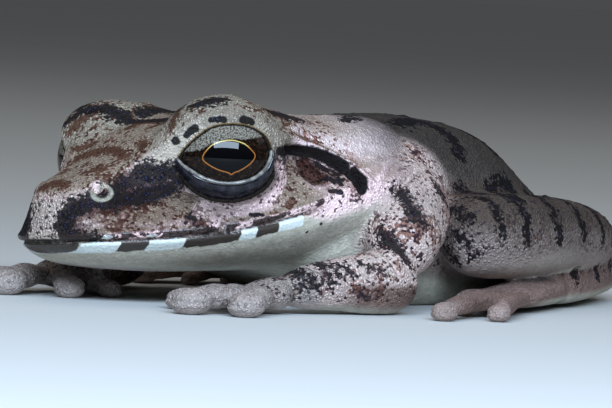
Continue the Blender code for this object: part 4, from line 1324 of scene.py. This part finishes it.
def ground_colour(tree, texture):
    """Each layer is a share of 0 to 1, cut out of the summed noises between two close limits."""
    broad, middling, fine, luck, pebble = texture
    crown, grain, specks, mottle_and_shade = (attribute(tree, name) for name in ("crown", "grain", "specks", "mottle_and_shade"))
    tone = (0.46 + 0.66 * middling + 0.50 * broad) * (1 + 0.52 * grain * (luck - 0.5))
    # The gaps between granules are painted darker, as shade between them.
    tone = tone * (1.2 - 0.62 * grain * (1 - pebble)) * (0.7 + 0.6 * fine)
    scaled = {0: attribute(tree, "ground", COLOUR_OUT), "Scale": tone}
    colour = add_node(tree, "VectorMath", {"operation": "SCALE"}, scaled)
    patches = (broad * 0.9 + 0.45 * middling + 0.3 * (luck - 0.5)).ramp(0.72, 0.79) * crown
    near_red = attribute(tree, "red") + 1.3 * (middling - 0.5) + 1.0 * (fine - 0.5) + 0.5 * (luck - 0.5)
    reddish = patches.most(near_red.ramp(0.1, -0.25))
    colour = colour_mix(0.95 * reddish, colour, (0.30, 0.16, 0.12), "MULTIPLY")
    flecks = (0.6 * middling + 0.5 * fine + 0.35 * (luck - 0.5)).ramp(0.64, 0.72)
    colour = colour_mix(0.8 * flecks * crown.most(0.65 * specks), colour, (0.34, 0.21, 0.19), "MULTIPLY")
    dots = (0.6 * middling + 0.4 * fine + 0.7 * luck + 0.35 * broad + 0.26 * mottle_and_shade).ramp(1.20, 1.28)
    colour = colour_mix(0.9 * dots * specks, colour, (0.022, 0.016, 0.022))
    # Mottling under the mask, darkened with painted shade below the fold.
    colour = colour_mix(0.55 * mottle_and_shade * middling.ramp(0.30, 0.6), colour, (0.42, 0.27, 0.25), "MULTIPLY")
    brown_ear = attribute(tree, "ear") * (0.6 + 0.9 * (middling - 0.2))
    colour = colour_mix(brown_ear.ramp(0.25, 0.7), colour, (0.16, 0.095, 0.085), "MULTIPLY")
    return colour_mix(0.8 * attribute(tree, "socket"), colour, (0.045, 0.034, 0.027))


# %% [markdown]
# The marks are cut out of the stored distances. A noise added to the distance makes a ragged edge and lets
# single pale granules through, and the tops of the granules inside a mark carry a painted bluish glint.
# The painted shadow under the fold and the rim of the eye stay crisp. On the lips pale and dark bars take
# turns, both wet.

# %% Marks, rim of the eye and lips


def marked(tree, texture, colour):
    """The colour under dark marks with painted glints, spots, the fold's painted shadow, nostril ring and
    eye rim; also the marks' share.
    """
    _, middling, fine, luck, pebble = texture
    ragged = attribute(tree, "dark") + 1.0 * (middling - 0.5) + 0.9 * (fine - 0.5) + 0.85 * (luck - 0.5)
    spot = (attribute(tree, "spots") + 0.25 * (middling - 0.5) + 0.15 * (fine - 0.5)).ramp(0.05, -0.06)
    mark = ragged.ramp(0.14, -0.16).most(spot)
    # Nearly black ink, with a painted bluish glint on the tops of its granules.
    ink_and_glint = colour_mix((luck * pebble).ramp(0.2, 0.8), (0.004, 0.003, 0.0035), (0.018, 0.024, 0.062))
    colour = colour_mix(0.96 * mark, colour, ink_and_glint)
    # The black band under the fold is painted shadow.
    colour = colour_mix(attribute(tree, "fold").ramp(0.12, -0.1), colour, (0.008, 0.006, 0.006))
    colour = colour_mix(0.8 * attribute(tree, "nostril").ramp(0.35, 0.9), colour, (0.36, 0.34, 0.27))
    rim = attribute(tree, "rim")
    colour = colour_mix(rim.ramp(0.13, 0.06) * attribute(tree, "upper"), colour, (0.13, 0.08, 0.03))
    return colour_mix(rim.ramp(0.05, -0.02), colour, (0.012, 0.009, 0.007)), mark


def with_lips(tree, texture, colour):
    """The colour under the lips' bars and the shade of pits; also the bars' share."""
    _, middling, fine, _, _ = texture
    pale = (attribute(tree, "lip_pale") + 0.35 * (middling - 0.5)).ramp(0.07, -0.05)
    colour = colour_mix(0.94 * pale, colour, colour_mix(fine, (0.50, 0.55, 0.52), (0.74, 0.80, 0.78)))
    bars = (attribute(tree, "lip_dark") + 0.5 * (middling - 0.5)).ramp(0.07, -0.05)
    colour = colour_mix(0.95 * bars, colour, colour_mix(fine, (0.032, 0.018, 0.014), (0.014, 0.009, 0.009)))
    return colour_mix(attribute(tree, "shade"), colour, (0.007, 0.005, 0.005)), bars.most(pale)


# %% [markdown]
# Last come shine and relief. The skin is nearly matt, with a thin clear coat on the granules and a
# thicker one on the wet lips. The bump only adds the granules, which are too small for the net.

# %% The whole finish
BUMP_HEIGHT = 0.00016


def skin_finish():
    """All layers of colour, with shine and relief from the same texture."""
    made, tree, shader = material("moist frog skin")
    texture = skin_texture(tree)
    _, middling, fine, luck, pebble = texture
    grain = attribute(tree, "grain")
    colour, mark = marked(tree, texture, ground_colour(tree, texture))
    colour, wet = with_lips(tree, texture, colour)
    relief = pebble * grain * (0.6 + 0.8 * luck) + (0.25 + 0.75 * grain) * (0.6 * fine + 0.7 * middling)
    raised = {"Height": relief, "Distance": BUMP_HEIGHT, "Strength": 0.85}
    feed(tree, shader, {
        "Base Color": colour,
        "Roughness": 0.86 - 0.14 * fine - 0.42 * wet,
        "Coat Weight": 0.45 * wet + 0.06 * pebble * grain * (1 - mark),
        "Coat Roughness": 0.22,
        "Specular IOR Level": 0.08,
        "Normal": add_node(tree, "Bump", {}, raised),
    })
    return made


skin.data.materials.clear()
skin.data.materials.append(skin_finish())
print("the skin's finish has", len(skin.data.materials[0].node_tree.nodes), "nodes")

# %% [markdown]
# ## The eyes
# The eye is a wet ball. Its iris is nearly black brown with fine golden veins and a silvery band above,
# and the pupil is a wide lens shape with a thin gold rim and a small notch below. The ball's points carry
# their place in the eye's own axes, and the finish draws everything from that.

# %% The outline of the pupil and the edge of the silver
PUPIL = np.array([(-2.15, -0.18), (-1.78, 0.42), (-1.15, 0.86), (0.0, 1.06), (1.08, 0.76), (1.68, 0.26),
                  (2.0, -0.24), (1.62, -0.78), (0.86, -1.25), (0.2, -1.48), (0.0, -1.6), (-0.2, -1.46),
                  (-1.02, -1.16), (-1.78, -0.68)])
SILVER_ACROSS = (-4.2, -3.4, -2.3, -1.35, 0.0, 1.35, 2.9, 4.2)
SILVER_EDGE = (0.4, 0.45, 0.5, 0.93, 1.2, 1.1, 1.3, 1.4)


def outline_distance(flat, corners):
    """Distance to a smooth closed outline through the corners, less than 0 inside.

    A place is inside when a line from it to the right crosses the outline an odd number of times.
    """
    count = len(corners)
    wrapped = np.concatenate([corners[-3:], corners, corners[:3]])
    line = smooth(np.arange(0, count, 0.125), np.arange(-3, count + 3), wrapped)
    distance = np.full(len(flat), 1e9)
    inside = np.zeros(len(flat), bool)
    for a, b in zip(line, np.roll(line, -1, 0)):
        t = np.clip((flat - a) @ (b - a) / ((b - a) @ (b - a)), 0, 1)
        distance = np.minimum(distance, np.linalg.norm(flat - a - t[:, None] * (b - a), axis=1))
        straddles = (a[1] > flat[:, 1]) != (b[1] > flat[:, 1])
        rise = b[1] - a[1] if b[1] != a[1] else 1e-9
        inside ^= straddles & (flat[:, 0] < a[0] + (flat[:, 1] - a[1]) * (b[0] - a[0]) / rise)
    return np.where(inside, -distance, distance)


print("the pupil's middle lies", round(-float(outline_distance(np.zeros((1, 2)), PUPIL)[0]), 2), "mm inside")

# %% [markdown]
# ## Iris, silver and gold
# The iris is drawn from the inside out by the distance to the pupil's edge: black inside, a thin gold rim,
# then dark brown with veins. A silvery band lies above a line that crosses the eye just over the pupil.

# %% The eye's finish


def eye_finish():
    """Veined iris, silver band, gold rim and black pupil under a clear coat."""
    made, tree, shader = material("wet eye")
    x, y = attribute(tree, "across"), attribute(tree, "upward")
    plane = add_node(tree, "CombineXYZ", {}, {0: x, 1: y})
    veins = noise(tree, 3.5, 4, 0.7, plane)
    specks = noise(tree, 7.0, 2, 0.6, plane)
    hole = attribute(tree, "pupil") + 0.03 * (specks - 0.5)
    gold = hole.ramp(0.11, 0.07) * hole.ramp(-0.02, 0.01)
    silver = (attribute(tree, "silver") + 0.35 * (veins - 0.5)).ramp(-0.08, 0.12)
    colour = colour_mix(veins.ramp(0.46, 0.66), (0.003, 0.0017, 0.0013), (0.019, 0.008, 0.004))
    colour = colour_mix(0.5 * specks.ramp(0.62, 0.70), colour, (0.09, 0.05, 0.025))
    tone = colour_mix(specks.ramp(0.38, 0.60), (0.040, 0.034, 0.026), (0.22, 0.20, 0.165))
    colour = colour_mix(0.9 * silver, colour, tone)
    rim = colour_mix(y.ramp(0.2, 0.9), (0.30, 0.11, 0.025), (0.55, 0.42, 0.14))
    colour = colour_mix(0.9 * gold, colour, rim)
    feed(tree, shader, {
        "Base Color": colour_mix(hole.ramp(0.03, -0.03), colour, (0.001, 0.001, 0.0015)),
        "Roughness": 0.25,
        "Coat Weight": 1.0,
        "Coat Roughness": 0.015,
        "Coat IOR": 1.28,
        "Specular IOR Level": 0.0,
    })
    return made


# %% [markdown]
# ## The balls
# Both eyeballs are the same globe, set into the two sides of the head. The stored values depend only on
# the place across the sight, so the rear half gets values far off, or it would carry a second pupil.

# %% Two eyeballs
SIDES = tuple(zip(("left", "right"), BOTH))
EYE_FINISH = eye_finish()


def eye_piece(name, rings, side, finish):
    """A closed piece from rings in the eye's own axes, set into one side of the head."""
    places, faces = sewn(rings)
    obj = piece(name, from_head((places @ EYE_AXES.T + EYE) * side), faces)
    obj.data.shade_smooth()
    obj.data.materials.append(finish)
    return obj


def eyeball(word, side):
    """A globe about the sight, with the tilts pi t^1.5, so that the rings lie closer together in front."""
    rings = EYE_RADIUS * globe(np.pi * np.linspace(0, 1, 110) ** 1.5, 144)
    obj = eye_piece(f"eyeball_{word}", rings, side, EYE_FINISH)
    places = sewn(rings)[0]
    behind = np.where(places[:, 2] > 0, 0, FAR)
    store(obj.data, "across", places[:, 0])
    store(obj.data, "upward", places[:, 1])
    store(obj.data, "pupil", outline_distance(places[:, :2], PUPIL) + behind)
    store(obj.data, "silver", places[:, 1] - smooth(places[:, 0], SILVER_ACROSS, SILVER_EDGE) - behind)
    return obj


eyes = [eyeball(word, side) for word, side in SIDES]
print("eyeballs:", [(eye.name, len(eye.data.polygons)) for eye in eyes])

# %% [markdown]
# ## The lower lid
# A frog's lower lid is a clear fold that waits below the eye. Its pale rolled edge runs along the ball,
# and under it the wet fold shows as a dark, bluish crescent. The edge is a thin tube along a curve on the
# ball; the fold is a lens-shaped strip between that curve and the skin.

# %% Rolled edge and glossy fold
RING = np.array([(-4.02, 0.0), (-3.86, -0.34), (-3.18, -1.06), (-2.09, -1.83), (-0.77, -2.28),
                 (0.68, -2.32), (2.05, -1.94), (2.95, -1.24), (3.46, -0.37), (3.6, 0.2)])
EDGE_RADIUS, EDGE_ABOVE_BALL, FOLD_UNDER_SKIN, FOLD_THICKNESS = 0.16, 0.14, 0.3, 0.5
EDGE_COAT = {"Coat Weight": 0.6, "Coat Roughness": 0.1}
EDGE_COLOURS = (0.07, 0.065, 0.06), (0.20, 0.19, 0.17)
EDGE_FINISH = mottled_finish("pale lid edge", 1500, (0.4, 0.62), EDGE_COLOURS, (0.42, -0.15), EDGE_COAT)
FOLD_COAT = {"Coat Weight": 1.0, "Coat Roughness": 0.05, "Coat IOR": 1.3, "Specular IOR Level": 0.1}
FOLD_COLOURS = (0.007, 0.007, 0.010), (0.022, 0.021, 0.028)
FOLD_FINISH = mottled_finish("wet lid fold", 1200, (0.42, 0.66), FOLD_COLOURS, (0.1, 0.1), FOLD_COAT)


def on_ball(flat, radius, least):
    """Lifts places across the sight onto a ball: the third number is sqrt(r^2 - x^2 - y^2)."""
    return np.dstack([flat, np.sqrt(np.maximum(radius**2 - (flat**2).sum(-1), least))])


def lid_edge(word, side):
    """A thin tube carried along the ring of places, lifted just above the eyeball."""
    path = on_ball(RING[None], EYE_RADIUS + EDGE_ABOVE_BALL, 0.3)[0]
    rings = carried(path, np.full((len(path), 2), EDGE_RADIUS), 16, 90)
    return eye_piece(f"lid_edge_{word}", rings, side, EDGE_FINISH)


def lid_fold(word, side):
    """A strip with v from 0 at the edge to 1 in the skin, at radius 4.28 + 0.26 sin(pi v)^0.8 + 0.12 v."""
    inner = smooth(np.linspace(0, 1, 80), np.linspace(0, 1, len(RING)), RING)
    length = np.linalg.norm(inner, axis=1)
    reach = opening_at(inner)[1] + FOLD_UNDER_SKIN
    outer = inner * (np.maximum(reach, length + 0.25) / length)[:, None]
    v = np.linspace(0, 1, 14)[:, None]
    flat = inner + (outer - inner) * v[..., None]
    front = on_ball(flat, 4.28 + 0.26 * np.sin(np.pi * v) ** 0.8 + 0.12 * v, 0.25)
    back = (front - (0, 0, FOLD_THICKNESS))[::-1]
    loops = np.concatenate([front, back]).transpose(1, 0, 2)
    return eye_piece(f"lid_fold_{word}", capped(loops), side, FOLD_FINISH)


lids = [make(word, side) for word, side in SIDES for make in (lid_edge, lid_fold)]
print("lids:", [(lid.name, len(lid.data.polygons)) for lid in lids])

# %% [markdown]
# The skin takes the place of every flesh node, each eyeball that of its eye. The frog is a still model,
# so every piece rides on the one body there is.

# %% Replacing the solids
FLESH = ("trunk", "head", "lower_jaw")
LIMB_NODES = ("upper_arm", "forearm", "hand", "thigh", "shank", "tarsus", "foot")

word_nodes = [f"{name}_{word}" for name in LIMB_NODES for word in ("left", "right")]
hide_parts(*FLESH, *word_nodes)
for eye, word in zip(eyes, ("left", "right")):
    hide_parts(f"eye_{word}")
for obj in (skin, *eyes, *lids):
    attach(obj, "root")
print("pieces:", [(o.name, len(o.data.polygons)) for o in (skin, *eyes, *lids)])

# %% [markdown]
# ## Floor, light and camera
# The photograph has soft daylight from above and a brighter, bluish patch of sky that mirrors in the eye.
# A wide pale floor, an even grey surround and three lamps give the same.

# %% A wide pale floor
FLOOR_REACH = 30.0

floor_mesh = bpy.data.meshes.new("floor")
corners = FLOOR_REACH * np.array([(-1, -1, 0), (1, -1, 0), (1, 1, 0), (-1, 1, 0)])
floor_mesh.from_pydata(corners.tolist(), [], [(0, 1, 2, 3)])
floor = bpy.data.objects.new("floor", floor_mesh)
made, tree, shader = material("pale studio floor")
cloud = colour_mix(noise(tree, 6.0), (0.44, 0.445, 0.44), (0.48, 0.485, 0.48))
feed(tree, shader, {"Base Color": cloud, "Roughness": 0.9})
floor.data.materials.append(made)
scene.collection.objects.link(floor)
print("floor", 2 * FLOOR_REACH, "m wide")

# %% [markdown]
# ## Surround and lamps
# The surround is dim and brightens upwards. A large warm lamp overhead stands for the sky, a long bluish
# one before the frog mirrors in eye and lips, and a weak one lifts the shadows.

# %% A surround that brightens upwards, and three lamps
world = bpy.data.worlds.new("surround")
world.use_nodes = True
tree = world.node_tree
height = add_node(tree, "SeparateXYZ", {}, {0: add_node(tree, "TexCoord")}, 2)
sky = colour_mix(height.ramp(0.02, 0.35), (0.44, 0.46, 0.47), (0.86, 0.90, 0.92))
feed(tree, tree.nodes["Background"], {"Color": sky, "Strength": 0.15})
scene.world = world


NECK = Vector((-0.01, 0, 0.008))


def lamp(name, azimuth, elevation, distance, size, power, colour):
    """A rectangular lamp at a bearing in degrees and a distance in metres, aimed at the frog's neck."""
    data = bpy.data.lights.new(name, "AREA")
    data.shape = "RECTANGLE"
    data.size, data.size_y = size
    data.energy, data.color = power, colour
    obj = bpy.data.objects.new(name, data)
    a, e = np.radians(azimuth), np.radians(elevation)
    way = Vector((np.sin(a) * np.cos(e), -np.cos(a) * np.cos(e), np.sin(e)))
    obj.location = way * distance + NECK
    obj.rotation_mode = "QUATERNION"
    obj.rotation_quaternion = way.to_track_quat("Z", "Y")
    scene.collection.objects.link(obj)


lamp("sky", 200, 78, 0.7, (0.9, 0.7), 1.6, (1.0, 0.96, 0.90))
lamp("window", -46, 29, 0.34, (0.33, 0.085), 2.7, (0.64, 0.80, 1.0))
lamp("side", 60, 40, 0.6, (0.4, 0.4), 0.3, (1.0, 0.97, 0.93))

# %% [markdown]
# The camera looks from the side that the photograph shows, left of the frog's nose and barely above the
# floor. Its bearing, height and tilt were chosen so that eyes, nostrils and mouth fall on their places in
# the photograph. At a distance of 400 mm one millimetre of frog is 12.36 pixels of the picture.

# %% The camera
CAMERA_AT = np.array([-318.868, -262.181, 26.233])
CAMERA_RIGHT = np.array([0.63023, -0.77464, 0.05229])
CAMERA_UP = np.array([0.00092, 0.06809, 0.99768])
CAMERA_BACK = np.array([-0.77641, -0.62872, 0.04362])
SENSOR, DISTANCE, PICTURE_WIDTH, PIXELS_PER_MM = 36, 400, 612, 12.36

camera_data = bpy.data.cameras.new("camera")
camera_data.sensor_width = SENSOR
camera_data.lens = SENSOR * DISTANCE / (PICTURE_WIDTH / PIXELS_PER_MM)
camera_data.clip_start, camera_data.clip_end = 0.01, 20
camera = bpy.data.objects.new("camera", camera_data)
stance = np.eye(4)
stance[:3, :3] = np.stack([CAMERA_RIGHT, CAMERA_UP, CAMERA_BACK], 1)
stance[:3, 3] = (CAMERA_AT + SLIDE) * MM
camera.matrix_world = Matrix(stance.tolist())
scene.collection.objects.link(camera)
scene.camera = camera
scene.view_settings.view_transform = "Standard"
print("lens of", round(camera_data.lens), "mm,", round(float(CAMERA_AT[2]), 1), "mm above the floor")
